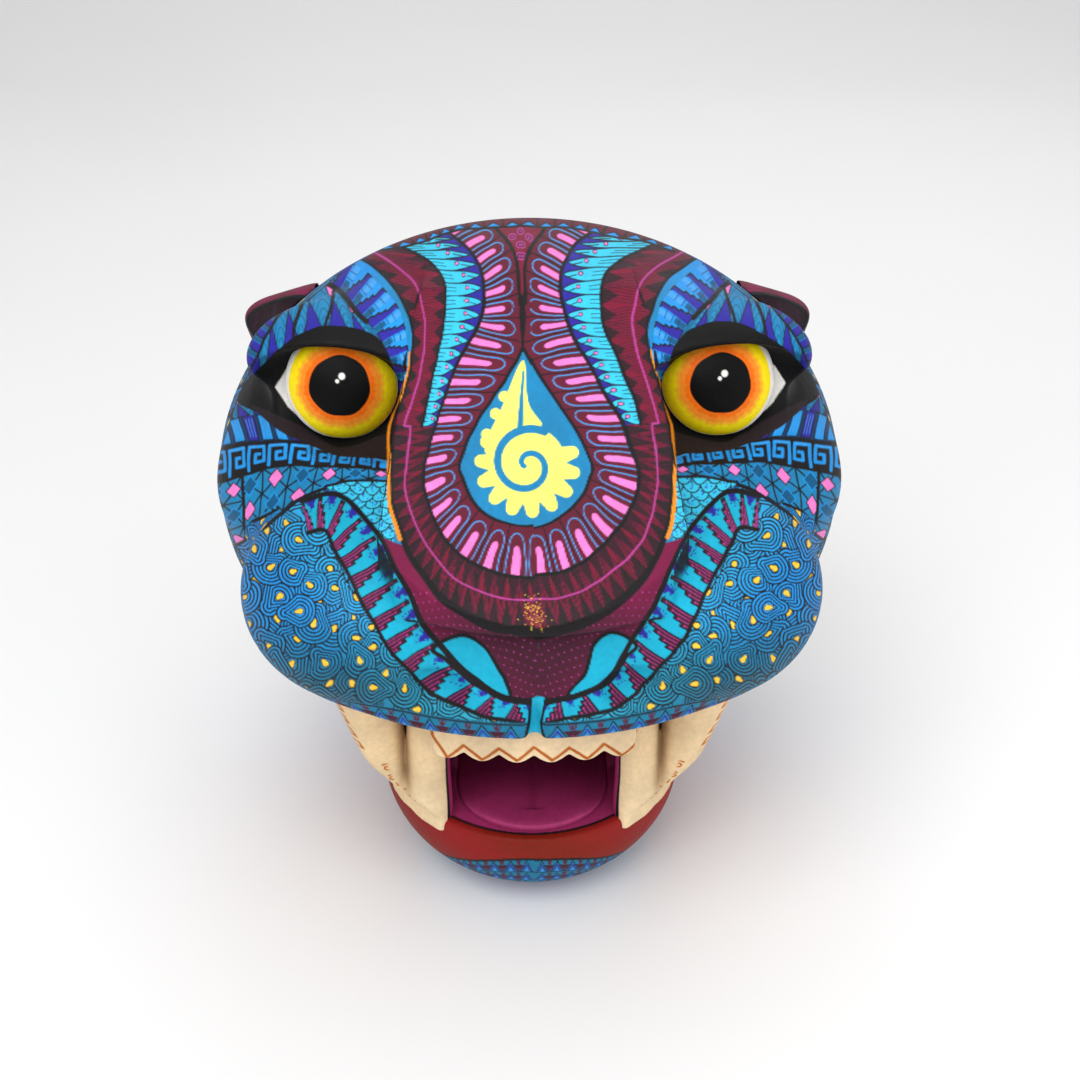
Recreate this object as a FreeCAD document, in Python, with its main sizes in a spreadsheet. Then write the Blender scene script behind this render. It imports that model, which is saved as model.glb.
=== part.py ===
import FreeCAD, Part
import math
import os
import Sketcher

# A carved and painted wooden feline head, made to hang on a wall.
# Frame: +X to the viewer's right, +Y towards the wall, +Z up.
# The origin is the centre of the flat back face. All lengths are in millimetres.
# "left" is the -X side and "right" is the +X side.

SIZES = {
    # head block: an ellipsoid cut flat at the back
    "head_y": -60, "head_z": 13, "head_rx": 143, "head_ry": 126, "head_rz": 115,
    # blunt muzzle in front of it, and the round whisker pads
    "muzzle_y": -148, "muzzle_z": 5, "muzzle_rx": 112, "muzzle_ry": 82, "muzzle_rz": 70,
    "muzzle_top": 46,
    "pad_x": 63, "pad_y": -158, "pad_z": 13, "pad_rx": 56, "pad_ry": 62, "pad_rz": 41,
    # cheekbones and brows
    "cheek_x": 90, "cheek_y": -96, "cheek_z": 28, "cheek_rx": 47, "cheek_ry": 51, "cheek_rz": 32,
    "brow_x": 74, "brow_y": -102, "brow_z": 92, "brow_rx": 44, "brow_ry": 34, "brow_rz": 20,
    "brow_turn": 10,
    # eye sockets and eye domes
    "socket_x": 80, "socket_y": -136, "socket_z": 84,
    "socket_rx": 42, "socket_ry": 26, "socket_rz": 24, "socket_turn": 20,
    "eye_x": 78, "eye_y": -110, "eye_z": 83, "eye_r": 24, "eye_gap": 0.12,
    # raised nose band: plan outline and side profile
    "band_back_y": -70, "band_back_half": 44, "band_tip_half": 59, "band_tip_y": -205,
    "band_tip_radius": 71.6, "band_front_y": -236, "band_front_z": 31, "band_under_z": 27,
    "band_crest_y": -84, "band_crest_z": 124, "band_back_z": 108, "band_arc_radius": 420,
    "nostril_x": 38, "nostril_y": -222, "nostril_z": 2,
    "nostril_rx": 13, "nostril_ry": 9, "nostril_rz": 10,
    "notch_y": -232, "notch_z": -16, "notch_rx": 3, "notch_ry": 9, "notch_rz": 13,
    # planes that part the head from the jaw, and the mouth opening
    "lip_z": -20, "joint_z": -40, "glue_gap": 0.1, "mouth_back_y": -95,
    "rim_z": -99, "rim_bend_y": -140, "rim_corner_z": -56, "mouth_front_y": -260,
    "fit_top_z": -20.1, "fit_back_y": -95.1, "fit_corner_z": -55.9, "fit_rim_z": -98.9,
    "over_z": -30, "mouth_half": 170,
    # hollow carved in the back
    "hollow_z": 26, "hollow_rx": 100, "hollow_ry": 88, "hollow_rz": 62,
    # lower jaw: chin ellipsoid and two fuller lip corners
    "jaw_y": -110, "jaw_z": -90, "jaw_rx": 70, "jaw_ry": 84, "jaw_rz": 55,
    "corner_x": 34, "corner_y": -136, "corner_z": -104,
    "corner_rx": 32, "corner_ry": 42, "corner_rz": 32,
    # tongue and the pocket it lies in
    "pocket_half": 34, "pocket_y": -150, "pocket_floor_z": -115, "pocket_depth": 90,
    "tongue_half": 33.85, "tongue_back_y": -95.15, "tongue_bottom_z": -114.85,
    "tongue_height": 30,
    "dome_y": -140, "dome_z": -125, "dome_rx": 50, "dome_ry": 70, "dome_rz": 30,
    "groove_z": -95, "groove_rx": 2.4, "groove_ry": 38, "groove_rz": 2,
    # incisor plate with a saw-toothed lower edge, let into a slot under the lip
    "plate_back": 199, "plate_thick": 8, "plate_half": 43, "plate_top_z": -16.1,
    "tooth_valley_z": -42, "tooth_tip_z": -47, "slot_gap": 0.1, "slot_top_z": -16,
    "tooth_one": 7.17, "tooth_two": 14.33, "tooth_three": 21.5, "tooth_four": 28.67,
    "tooth_five": 35.83,
    # fangs: tapered cones with round tenons
    "upper_x": 70, "upper_y": -176, "upper_root_r": 15, "upper_tip_r": 4.5,
    "upper_length": 66, "upper_lean_in": 7, "upper_lean_back": 3.5,
    "lower_x": 47, "lower_y": -158, "lower_root_r": 12, "lower_tip_r": 6,
    "lower_length": 73, "lower_lean_in": 1.5, "lower_lean_front": 5.5,
    "tenon_r": 4, "tenon_length": 8, "tenon_root": 3, "tenon_gap": 0.06, "tenon_end_gap": 0.2,
    # cheek teeth: a leaning wall between the jaws
    "wall_top_back_y": -94, "wall_top_front_y": -157, "wall_low_back_y": -110,
    "wall_low_front_y": -143, "wall_top_out_back": 87, "wall_top_out_front": 80,
    "wall_top_in_back": 75, "wall_top_in_front": 68, "wall_low_out_back": 67,
    "wall_low_out_front": 66, "wall_low_in_back": 54, "wall_low_in_front": 53,
    # ears on pegs
    "ear_x": 111, "ear_y": -26, "ear_z": 75, "ear_rx": 22, "ear_ry": 25, "ear_rz": 11,
    "ear_tilt": 14, "ear_gap": 0.2,
    "scoop_x": 118, "scoop_y": -40, "scoop_z": 100, "scoop_r": 19,
    "peg_r": 3, "peg_length": 23, "peg_lean": 69, "peg_turn": 6,
    "peg_x": 100.2, "peg_y": -27.2, "peg_z": 70.9, "peg_gap": 0.05, "peg_end_gap": 0.4,
    "ear_hole_gap": 0.03,
    # dowels that hold the jaw to the head
    "dowel_r": 5, "dowel_length": 40, "dowel_bottom_z": -60, "dowel_gap": 0.05,
    "dowel_end_gap": 0.1,
    "dowel_back_x": 85, "dowel_back_y": -40, "dowel_front_x": 70, "dowel_front_y": -80,
    # hanger: recess, strap with a rolled loop, D-ring and two screws
    "recess_half": 11.5, "recess_floor": 5.4, "recess_low_z": 78, "recess_high_z": 107.5,
    "strap_half": 6.5, "strap_back": 5.3, "strap_thick": 1.2, "strap_top_z": 100,
    "loop_y": -3, "loop_z": 87, "loop_r": 2.3, "loop_bore_r": 1.32, "loop_half": 5.5,
    "ring_wire_r": 1.25, "ring_r": 9,
    "screw_low_z": 93.2, "screw_high_z": 100.6, "screw_r": 1.4, "screw_length": 14,
    "screw_head_r": 2.6, "screw_head_h": 1.5, "screw_slot_half": 0.4, "screw_slot_h": 0.7,
    "screw_gap": 0.04,
    # working margins for cutting tools
    "far": 400, "margin": 2, "middle_x": 0,
}

SIDES = {"left": -1, "right": 1}

doc = FreeCAD.newDocument("feline_head")
sheet = doc.addObject("Spreadsheet::Sheet", "sizes")


def fill_sheet():
    """One row per driving size: its name, its value and the value's alias."""
    for row, (alias, value) in enumerate(SIZES.items(), start=1):
        sheet.set("A%d" % row, alias)
        sheet.set("B%d" % row, str(value))
        sheet.setAlias("B%d" % row, alias)
    doc.recompute()


def number(term):
    """The present value of an alias, which may have a leading minus sign."""
    sign = -1 if term.startswith("-") else 1
    return sign * float(sheet.get(term.lstrip("-")))


def formula(term):
    """The expression that reads an alias, which may have a leading minus sign."""
    if term.startswith("-"):
        return "-sizes." + term[1:]
    return "sizes." + term


def signed(side, alias):
    """The alias for a position on the given side of the middle plane."""
    return alias if side > 0 else "-" + alias


def add(kind, name, **bound):
    """A document object whose properties are bound to expressions."""
    obj = doc.addObject(kind, name)
    for prop, expression in bound.items():
        obj.setExpression(prop, expression)
    return obj


def move(obj, x=None, y=None, z=None):
    """Bind the position of an object to expressions."""
    for axis, expression in (("x", x), ("y", y), ("z", z)):
        if expression is not None:
            obj.setExpression("Placement.Base." + axis, expression)
    return obj


def turn(obj, axis, degrees):
    """Turn an object about an axis through its own origin."""
    rotation = FreeCAD.Rotation(FreeCAD.Vector(*axis), degrees)
    obj.Placement = FreeCAD.Placement(obj.Placement.Base, rotation)
    return obj


def ellipsoid(name, x, y, z, rx, ry, rz, axis=(0, 0, 1), degrees=0, seam=90):
    """An ellipsoid with its centre and its three radii bound to the sheet.

    The seam of its surface faces backwards (90) or forwards (-90), out of the finished face."""
    obj = add("Part::Ellipsoid", name, Radius1=rz, Radius2=ry, Radius3=rx)
    turned = FreeCAD.Rotation(FreeCAD.Vector(*axis), degrees)
    spun = FreeCAD.Rotation(FreeCAD.Vector(0, 0, 1), seam)
    obj.Placement = FreeCAD.Placement(FreeCAD.Vector(), turned.multiply(spun))
    return move(obj, x, y, z)


def dish(name, x, y, z, rx, ry, rz):
    """An ellipsoid for hollowing, with the poles of its surface on the front-to-back line."""
    obj = add("Part::Ellipsoid", name, Radius1=ry, Radius2=rx, Radius3=rz)
    return move(turn(obj, (-1, 0, 0), 90), x, y, z)


def named_ellipsoid(name, stem, side, axis=(0, 0, 1), degrees=0, seam=90):
    """An ellipsoid read from the cells STEM_x, STEM_y, STEM_z, STEM_rx and so on."""
    return ellipsoid(
        name, formula(signed(side, stem + "_x")), formula(stem + "_y"), formula(stem + "_z"),
        formula(stem + "_rx"), formula(stem + "_ry"), formula(stem + "_rz"), axis, degrees, seam)


def middle_ellipsoid(name, stem, grow="", seam=90):
    """An ellipsoid on the middle plane, read from the cells that start with STEM."""
    return ellipsoid(
        name, "0", formula(stem + "_y"), formula(stem + "_z"), formula(stem + "_rx") + grow,
        formula(stem + "_ry") + grow, formula(stem + "_rz") + grow, seam=seam)


def cylinder(name, radius, height, x, y, z, axis=None, degrees=0):
    obj = add("Part::Cylinder", name, Radius=radius, Height=height)
    if axis:
        turn(obj, axis, degrees)
    return move(obj, x, y, z)


def box(name, length, width, height, x, y, z):
    return move(add("Part::Box", name, Length=length, Width=width, Height=height), x, y, z)


def chain(kind, name, base, tools):
    """One boolean step per tool, each working on the result of the step before."""
    result = base
    for step, tool in enumerate(tools, start=1):
        last = step == len(tools)
        obj = doc.addObject(kind, name if last else "%s_step_%d" % (name, step))
        obj.Base = result
        obj.Tool = tool
        result = obj
    return result


def fuse(name, shapes):
    return chain("Part::Fuse", name, shapes[0], shapes[1:])


def cut(name, base, tools):
    return chain("Part::Cut", name, base, tools)


def common(name, base, tool):
    obj = doc.addObject("Part::Common", name)
    obj.Base = base
    obj.Tool = tool
    return obj


def origin_plane(body, role):
    return [feature for feature in body.Origin.OriginFeatures if feature.Role == role][0]


def outline(body, name, role, points, arcs=None, offset=None):
    """A closed sketch through points whose coordinates are aliases.

    arcs maps the index of a side to (radius alias, centre u, centre v); the centre is a first
    guess for the sketch solver and says on which side the arc bulges."""
    sketch = body.newObject("Sketcher::SketchObject", name)
    sketch.AttachmentSupport = [(origin_plane(body, role), "")]
    sketch.MapMode = "FlatFace"
    if offset:
        sketch.setExpression("AttachmentOffset.Base.z", offset)
    corners = [FreeCAD.Vector(number(u), number(v), 0) for u, v in points]
    count = len(corners)
    arcs = arcs or {}
    starts = {}
    for i in range(count):
        first, last = corners[i], corners[(i + 1) % count]
        if i in arcs:
            starts[i] = add_arc(sketch, i, first, last, arcs[i])
        else:
            sketch.addGeometry(Part.LineSegment(first, last), False)
            starts[i] = (1, 2)
    for i in range(count):
        following = (i + 1) % count
        sketch.addConstraint(
            Sketcher.Constraint("Coincident", i, starts[i][1], following, starts[following][0]))
    for i, (u, v) in enumerate(points):
        pin(sketch, "DistanceX", i, starts[i][0], u)
        pin(sketch, "DistanceY", i, starts[i][0], v)
    return sketch


def add_arc(sketch, index, first, last, arc):
    """Add a circular side; return which of its ends is the first and which the last."""
    radius, centre_u, centre_v = arc
    centre = FreeCAD.Vector(centre_u, centre_v, 0)
    circle = Part.Circle(centre, FreeCAD.Vector(0, 0, 1), number(radius))
    low, high = circle.parameter(first), circle.parameter(last)
    turned = (high - low) % (2 * math.pi)
    forwards = turned < math.pi
    if not forwards:
        low, high = high, low
    sketch.addGeometry(Part.ArcOfCircle(circle, low, high), False)
    constraint = sketch.addConstraint(Sketcher.Constraint("Radius", index, number(radius)))
    sketch.setExpression("Constraints[%d]" % constraint, formula(radius))
    return (1, 2) if forwards else (2, 1)


def pin(sketch, kind, geometry, point, term):
    """Fix one coordinate of a sketch point to an alias."""
    constraint = sketch.addConstraint(
        Sketcher.Constraint(kind, -1, 1, geometry, point, number(term)))
    sketch.setExpression("Constraints[%d]" % constraint, formula(term))


def padded(body, name, sketch, length, midplane=False):
    pad = body.newObject("PartDesign::Pad", name)
    pad.Profile = sketch
    if midplane:
        pad.Midplane = True
    pad.setExpression("Length", length)
    body.Tip = pad
    return pad


def side_prism(name, points, arcs=None):
    """A prism across the whole width whose (y, z) outline is given."""
    body = doc.addObject("PartDesign::Body", name)
    sketch = outline(body, name + "_outline", "YZ_Plane", points, arcs)
    padded(body, name + "_pad", sketch, "2 * sizes.mouth_half", midplane=True)
    return body


def mouth_opening(name, top, back, corner, rim):
    """The space between lip and jaw rim: level over the rim, then up a slope at the back."""
    return side_prism(name, [
        ("mouth_front_y", top), (back, top), (back, corner), ("rim_bend_y", rim),
        ("mouth_front_y", rim)])


def nose_band():
    """The raised band from the forehead to the nose tip: plan outline and side profile."""
    body = doc.addObject("PartDesign::Body", "band_plan")
    sketch = outline(body, "band_plan_outline", "XY_Plane", [
        ("band_back_half", "band_back_y"), ("-band_back_half", "band_back_y"),
        ("-band_tip_half", "band_tip_y"), ("band_tip_half", "band_tip_y")],
        arcs={2: ("band_tip_radius", 0, number("band_front_y") + number("band_tip_radius"))},
        offset="sizes.band_under_z")
    padded(body, "band_plan_pad", sketch, "sizes.band_crest_z")
    first = FreeCAD.Vector(number("band_crest_y"), number("band_crest_z"), 0)
    last = FreeCAD.Vector(number("band_front_y"), number("band_front_z"), 0)
    centre = arc_centre(first, last, number("band_arc_radius"))
    profile = side_prism("band_side", [
        ("band_front_y", "band_under_z"), ("band_back_y", "band_under_z"),
        ("band_back_y", "band_back_z"), ("band_crest_y", "band_crest_z"),
        ("band_front_y", "band_front_z")],
        arcs={3: ("band_arc_radius", centre.x, centre.y)})
    return common("nose_band", body, profile)


def arc_centre(first, last, radius):
    """The centre, on the low side, of the arc of a given radius through two points."""
    chord = last - first
    middle = (first + last) * 0.5
    height = (radius ** 2 - (chord.Length / 2) ** 2) ** 0.5
    across = FreeCAD.Vector(-chord.y, chord.x, 0).normalize()
    if across.y > 0:
        across = across * -1
    return middle + across * height


def back_cutter(name):
    """Everything behind the flat back face."""
    return box(name, "2 * sizes.far", "sizes.far", "2 * sizes.far", "-sizes.far", "0", "-sizes.far")


def block_below(name, front, back, top):
    """A box under a level face, between two positions from front to back."""
    return box(name, "2 * sizes.far", "%s - (%s)" % (back, front), "sizes.far",
               "-sizes.far", front, "%s - sizes.far" % top)


def side_ball(name, stem, side, grow=""):
    """A ball read from the cells STEM_x, STEM_y, STEM_z and STEM_r, poles front and back."""
    ball = turn(add("Part::Sphere", name, Radius=formula(stem + "_r") + grow), (-1, 0, 0), 90)
    return move(ball, formula(signed(side, stem + "_x")), formula(stem + "_y"),
                formula(stem + "_z"))


def peg_shape(name, side, radius, start, length):
    """A round peg along the ear's pull-out direction, from START past the inner end."""
    obj = cylinder(name, radius, length, None, None, None)
    direction = peg_direction(side)
    obj.Placement.Rotation = FreeCAD.Rotation(FreeCAD.Vector(0, 0, 1), direction)
    return move(obj,
                "%s + (%s) * %r" % (formula(signed(side, "peg_x")), start, direction.x),
                "sizes.peg_y + (%s) * %r" % (start, direction.y),
                "sizes.peg_z + (%s) * %r" % (start, direction.z))


def peg_direction(side):
    """The unit vector along which an ear is pushed on and pulled off."""
    lean = FreeCAD.Rotation(FreeCAD.Vector(0, side, 0), number("peg_lean"))
    swing = FreeCAD.Rotation(FreeCAD.Vector(0, 0, side), number("peg_turn"))
    return swing.multVec(lean.multVec(FreeCAD.Vector(0, 0, 1)))


def dowel_set(name, radius, bottom, length):
    """The four jaw dowels, or the holes for them."""
    places = []
    for row in ("back", "front"):
        for side_name, side in SIDES.items():
            x = formula(signed(side, "dowel_%s_x" % row))
            y = formula("dowel_%s_y" % row)
            label = "%s_%s_%s" % (name, row, side_name)
            places.append(cylinder(label, radius, length, x, y, bottom))
    return places


def screw_holes(name, radius, depth):
    """Holes for the two hanger screws, going forwards from the back face."""
    holes = []
    for place in ("low", "high"):
        holes.append(cylinder(name + "_" + place, radius, depth, "0", "sizes.margin",
                              "sizes.screw_%s_z" % place, (1, 0, 0), 90))
    return holes


def head_shell():
    """Head, muzzle, pads, cheekbones, brows and nose band in one carving, hollow at the back."""
    level = box("muzzle_level", "2 * sizes.far", "2 * sizes.far", "sizes.far",
                "-sizes.far", "-sizes.far", "sizes.muzzle_top - sizes.far")
    masses = [middle_ellipsoid("head_mass", "head"),
              common("muzzle_mass", middle_ellipsoid("muzzle_ball", "muzzle"), level),
              nose_band()]
    tools = [back_cutter("head_back"),
             block_below("under_lip", "-sizes.far", "sizes.mouth_back_y", "sizes.lip_z"),
             block_below("under_joint", "sizes.mouth_back_y - sizes.margin", "sizes.far",
                         "sizes.joint_z"),
             ellipsoid("hollow", "0", "0", "sizes.hollow_z",
                       "sizes.hollow_rx", "sizes.hollow_ry", "sizes.hollow_rz"),
             middle_ellipsoid("lip_notch", "notch", seam=-90),
             box("incisor_slot", "2 * (sizes.plate_half + sizes.slot_gap)",
                 "sizes.plate_thick + 2 * sizes.slot_gap",
                 "sizes.slot_top_z - sizes.lip_z + sizes.margin",
                 "-sizes.plate_half - sizes.slot_gap",
                 "-sizes.plate_back - sizes.plate_thick - sizes.slot_gap",
                 "sizes.lip_z - sizes.margin"),
             box("hanger_recess", "2 * sizes.recess_half", "sizes.recess_floor + sizes.margin",
                 "sizes.recess_high_z - sizes.recess_low_z", "-sizes.recess_half",
                 "-sizes.recess_floor", "sizes.recess_low_z")]
    for side_name, side in SIDES.items():
        masses += [
            named_ellipsoid("pad_" + side_name, "pad", side),
            named_ellipsoid("cheek_" + side_name, "cheek", side),
            named_ellipsoid("brow_" + side_name, "brow", side, (0, 0, -side),
                            number("brow_turn"))]
        tools += [
            named_ellipsoid("socket_" + side_name, "socket", side, (0, 0, side),
                            number("socket_turn"), seam=-90),
            side_ball("eye_seat_" + side_name, "eye", side, " + sizes.eye_gap"),
            dish("nostril_" + side_name, formula(signed(side, "nostril_x")), "sizes.nostril_y",
                 "sizes.nostril_z", "sizes.nostril_rx", "sizes.nostril_ry", "sizes.nostril_rz"),
            peg_shape("peg_hole_" + side_name, side, "sizes.peg_r + sizes.peg_gap",
                      "-sizes.peg_end_gap", "sizes.peg_length"),
            cylinder("upper_mortise_" + side_name, "sizes.tenon_r + sizes.tenon_gap",
                     "sizes.tenon_length + sizes.margin + sizes.tenon_end_gap",
                     formula(signed(side, "upper_x")), "sizes.upper_y",
                     "sizes.lip_z - sizes.margin")]
    tools += dowel_set("head_dowel_hole", "sizes.dowel_r + sizes.dowel_gap", "sizes.dowel_bottom_z",
                       "sizes.dowel_length + sizes.dowel_end_gap")
    tools += screw_holes("pilot", "sizes.screw_r + sizes.screw_gap",
                         "sizes.strap_back + sizes.screw_length + sizes.margin")
    return cut("head_shell", fuse("head_masses", masses), tools)


def lower_jaw():
    """Chin, lip and the lower back of the head, with the tongue pocket."""
    masses = [middle_ellipsoid("chin_mass", "jaw"), middle_ellipsoid("nape_mass", "head")]
    for side_name, side in SIDES.items():
        masses.append(named_ellipsoid("lip_corner_" + side_name, "corner", side))
    tools = [back_cutter("jaw_back"),
             box("above_joint", "2 * sizes.far", "2 * sizes.far", "sizes.far", "-sizes.far",
                 "-sizes.far", "sizes.joint_z - sizes.glue_gap"),
             mouth_opening("jaw_opening", "over_z", "mouth_back_y", "rim_corner_z", "rim_z"),
             box("pocket_back", "2 * sizes.pocket_half", "sizes.mouth_back_y - sizes.pocket_y",
                 "sizes.pocket_depth", "-sizes.pocket_half", "sizes.pocket_y",
                 "sizes.pocket_floor_z"),
             cylinder("pocket_front", "sizes.pocket_half", "sizes.pocket_depth", "0",
                      "sizes.pocket_y", "sizes.pocket_floor_z")]
    for side_name, side in SIDES.items():
        tools.append(cylinder("lower_mortise_" + side_name, "sizes.tenon_r + sizes.tenon_gap",
                              "sizes.tenon_length + sizes.margin + sizes.tenon_end_gap",
                              formula(signed(side, "lower_x")), "sizes.lower_y",
                              "sizes.rim_z - sizes.tenon_length - sizes.tenon_end_gap"))
    tools += dowel_set("jaw_dowel_hole", "sizes.dowel_r + sizes.dowel_gap",
                       "sizes.dowel_bottom_z - sizes.dowel_end_gap", "sizes.dowel_length")
    return cut("lower_jaw", fuse("jaw_masses", masses), tools)


def tongue():
    """A domed tongue with a middle groove, filling the pocket of the jaw."""
    slab = fuse("tongue_slab", [
        box("tongue_back", "2 * sizes.tongue_half", "sizes.tongue_back_y - sizes.pocket_y",
            "sizes.tongue_height",
            "-sizes.tongue_half", "sizes.pocket_y", "sizes.tongue_bottom_z"),
        cylinder("tongue_front", "sizes.tongue_half", "sizes.tongue_height", "0", "sizes.pocket_y",
                 "sizes.tongue_bottom_z")])
    domed = common("tongue_domed", slab, middle_ellipsoid("tongue_dome", "dome"))
    groove = ellipsoid("tongue_groove", "0", "sizes.dome_y", "sizes.groove_z",
                       "sizes.groove_rx", "sizes.groove_ry", "sizes.groove_rz")
    return cut("tongue", domed, [groove])


def upper_incisors():
    """A cream plate with six teeth along its lower edge."""
    steps = ["plate_half", "tooth_five", "tooth_four", "tooth_three", "tooth_two", "tooth_one"]
    lower = []
    for i, step in enumerate(steps):
        lower.append(("-" + step, "tooth_tip_z" if i % 2 else "tooth_valley_z"))
    right = [(u[1:], v) for u, v in reversed(lower)]
    middle = [("middle_x", "tooth_valley_z")]
    body = doc.addObject("PartDesign::Body", "upper_incisors")
    points = lower + middle + right + [
        ("plate_half", "plate_top_z"), ("-plate_half", "plate_top_z")]
    sketch = outline(body, "incisor_outline", "XZ_Plane", points, offset="sizes.plate_back")
    padded(body, "incisor_pad", sketch, "sizes.plate_thick")
    return body


def leaning_cone(name, root, lean, length, root_r, tip_r):
    """A cone from its root point along a lean vector, with a rounded tip."""
    direction = FreeCAD.Vector(*lean)
    cone = add("Part::Cone", name + "_cone", Radius1=root_r, Radius2=tip_r, Height=length)
    cone.Placement.Rotation = FreeCAD.Rotation(FreeCAD.Vector(0, 0, 1), direction)
    move(cone, *root)
    return cone, direction.normalize()


def fang(name, side, stem, up, root_z, tenon_z, opening):
    """A fang: a leaning cone with a ball tip between the jaws, and a tenon at its root."""
    x = formula(signed(side, stem + "_x"))
    y = "sizes.%s_y" % stem
    forwards = -number("lower_lean_front") if up > 0 else number("upper_lean_back")
    lean = (-side * number(stem + "_lean_in"), forwards, up * number(stem + "_length"))
    cone, direction = leaning_cone(name, (x, y, root_z), lean, "sizes.%s_length" % stem,
                                   "sizes.%s_root_r" % stem, "sizes.%s_tip_r" % stem)
    tip = add("Part::Sphere", name + "_tip", Radius="sizes.%s_tip_r" % stem)
    move(tip, "%s + sizes.%s_length * %r" % (x, stem, direction.x),
         "%s + sizes.%s_length * %r" % (y, stem, direction.y),
         "%s + sizes.%s_length * %r" % (root_z, stem, direction.z))
    crown = common(name + "_crown", fuse(name + "_solid", [cone, tip]), opening)
    tenon = cylinder(name + "_tenon", "sizes.tenon_r", "sizes.tenon_length + sizes.tenon_root",
                     x, y, tenon_z)
    return fuse(name, [crown, tenon])


def fangs():
    """Two upper fangs hang from the lip plane and two lower fangs stand on the jaw rim."""
    made = []
    for side_name, side in SIDES.items():
        room = mouth_opening("upper_room_" + side_name, "fit_top_z", "fit_back_y",
                             "fit_corner_z", "fit_rim_z")
        made.append(fang("upper_fang_" + side_name, side, "upper", -1, "sizes.lip_z + sizes.margin",
                         "sizes.lip_z - sizes.tenon_root", room))
        room = mouth_opening("lower_room_" + side_name, "fit_top_z", "fit_back_y",
                             "fit_corner_z", "fit_rim_z")
        made.append(fang("lower_fang_" + side_name, side, "lower", 1, "sizes.rim_z - sizes.margin",
                         "sizes.rim_z - sizes.tenon_length", room))
    return made


def cheek_teeth(side_name, side):
    """The leaning wall of back teeth that joins the two jaws at the side of the mouth."""
    body = doc.addObject("PartDesign::Body", "wall_" + side_name)
    rows = []
    for level, height in (("top", "fit_top_z"), ("low", "fit_rim_z")):
        stem = "wall_%s_" % level
        back, front = stem + "back_y", stem + "front_y"
        points = [(signed(side, stem + "out_back"), back),
                  (signed(side, stem + "out_front"), front),
                  (signed(side, stem + "in_front"), front),
                  (signed(side, stem + "in_back"), back)]
        rows.append(outline(body, "wall_%s_%s" % (level, side_name), "XY_Plane", points,
                            offset="sizes." + height))
    loft = body.newObject("PartDesign::AdditiveLoft", "wall_loft_" + side_name)
    loft.Profile = rows[0]
    loft.Sections = [rows[1]]
    loft.Ruled = True
    body.Tip = loft
    room = mouth_opening("wall_room_" + side_name, "fit_top_z", "fit_back_y", "fit_corner_z",
                         "fit_rim_z")
    return common("cheek_teeth_" + side_name, body, room)


def ear(side_name, side):
    """A small cupped ear, hollowed in front, whose foot follows the curve of the head."""
    leaf = named_ellipsoid("ear_leaf_" + side_name, "ear", side, (0, -side, 0),
                           number("ear_tilt"))
    tools = [middle_ellipsoid("ear_foot_" + side_name, "head", " + sizes.ear_gap"),
             side_ball("ear_scoop_" + side_name, "scoop", side),
             peg_shape("ear_hole_" + side_name, side, "sizes.peg_r + sizes.ear_hole_gap", "0",
                       "sizes.peg_length + sizes.peg_end_gap")]
    return cut("ear_" + side_name, leaf, tools)


def hanger_strap():
    """A steel strap screwed into the recess, its lower end rolled into a loop."""
    plate = fuse("strap_metal", [
        box("strap_plate", "2 * sizes.strap_half", "sizes.strap_thick",
            "sizes.strap_top_z - sizes.loop_z", "-sizes.strap_half", "-sizes.strap_back",
            "sizes.loop_z"),
        cylinder("strap_end", "sizes.strap_half", "sizes.strap_thick", "0",
                 "sizes.strap_thick - sizes.strap_back", "sizes.strap_top_z", (1, 0, 0), 90),
        cylinder("strap_loop", "sizes.loop_r", "2 * sizes.loop_half", "-sizes.loop_half",
                 "sizes.loop_y", "sizes.loop_z", (0, 1, 0), 90)])
    bore = cylinder("strap_bore", "sizes.loop_bore_r", "4 * sizes.loop_half",
                    "-2 * sizes.loop_half", "sizes.loop_y", "sizes.loop_z", (0, 1, 0), 90)
    holes = screw_holes("strap_hole", "sizes.screw_r + sizes.screw_gap",
                        "sizes.strap_back + 2 * sizes.margin")
    return cut("hanger_strap", plate, [bore] + holes)


def hanger_ring():
    """A D-shaped ring: a straight bar in the loop and a half-round bow below it."""
    bar = cylinder("ring_bar", "sizes.ring_wire_r", "2 * sizes.ring_r", "-sizes.ring_r",
                   "sizes.loop_y", "sizes.loop_z", (0, 1, 0), 90)
    bow = add("Part::Torus", "ring_bow", Radius1="sizes.ring_r", Radius2="sizes.ring_wire_r")
    bow.Angle3 = 180
    turn(bow, (-1, 0, 0), 90)
    move(bow, "0", "sizes.loop_y", "sizes.loop_z")
    corners = []
    for side_name, side in SIDES.items():
        ball = add("Part::Sphere", "ring_corner_" + side_name, Radius="sizes.ring_wire_r")
        corners.append(move(ball, formula(signed(side, "ring_r")), "sizes.loop_y", "sizes.loop_z"))
    return fuse("hanger_ring", [bar, bow] + corners)


def hanger_screw(place):
    """A slotted pan-head wood screw that holds the strap."""
    height = "sizes.screw_%s_z" % place
    face = "sizes.strap_thick - sizes.strap_back"
    shank = cylinder("shank_" + place, "sizes.screw_r", "sizes.screw_length", "0", face, height,
                     (1, 0, 0), 90)
    head = cylinder("screw_head_" + place, "sizes.screw_head_r", "sizes.screw_head_h", "0",
                    "%s + sizes.screw_head_h" % face, height, (1, 0, 0), 90)
    slot = box("screw_slot_" + place, "2 * (sizes.screw_head_r + sizes.margin)",
               "sizes.screw_slot_h + sizes.margin",
               "2 * sizes.screw_slot_half", "-sizes.screw_head_r - sizes.margin",
               "%s + sizes.screw_head_h - sizes.screw_slot_h" % face,
               "%s - sizes.screw_slot_half" % height)
    return cut("screw_" + place, fuse("screw_solid_" + place, [shank, head]), [slot])


def group(name, members):
    """Loose pieces of one kind kept together as one node."""
    obj = doc.addObject("Part::Compound", name)
    obj.Links = members
    return obj


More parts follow.
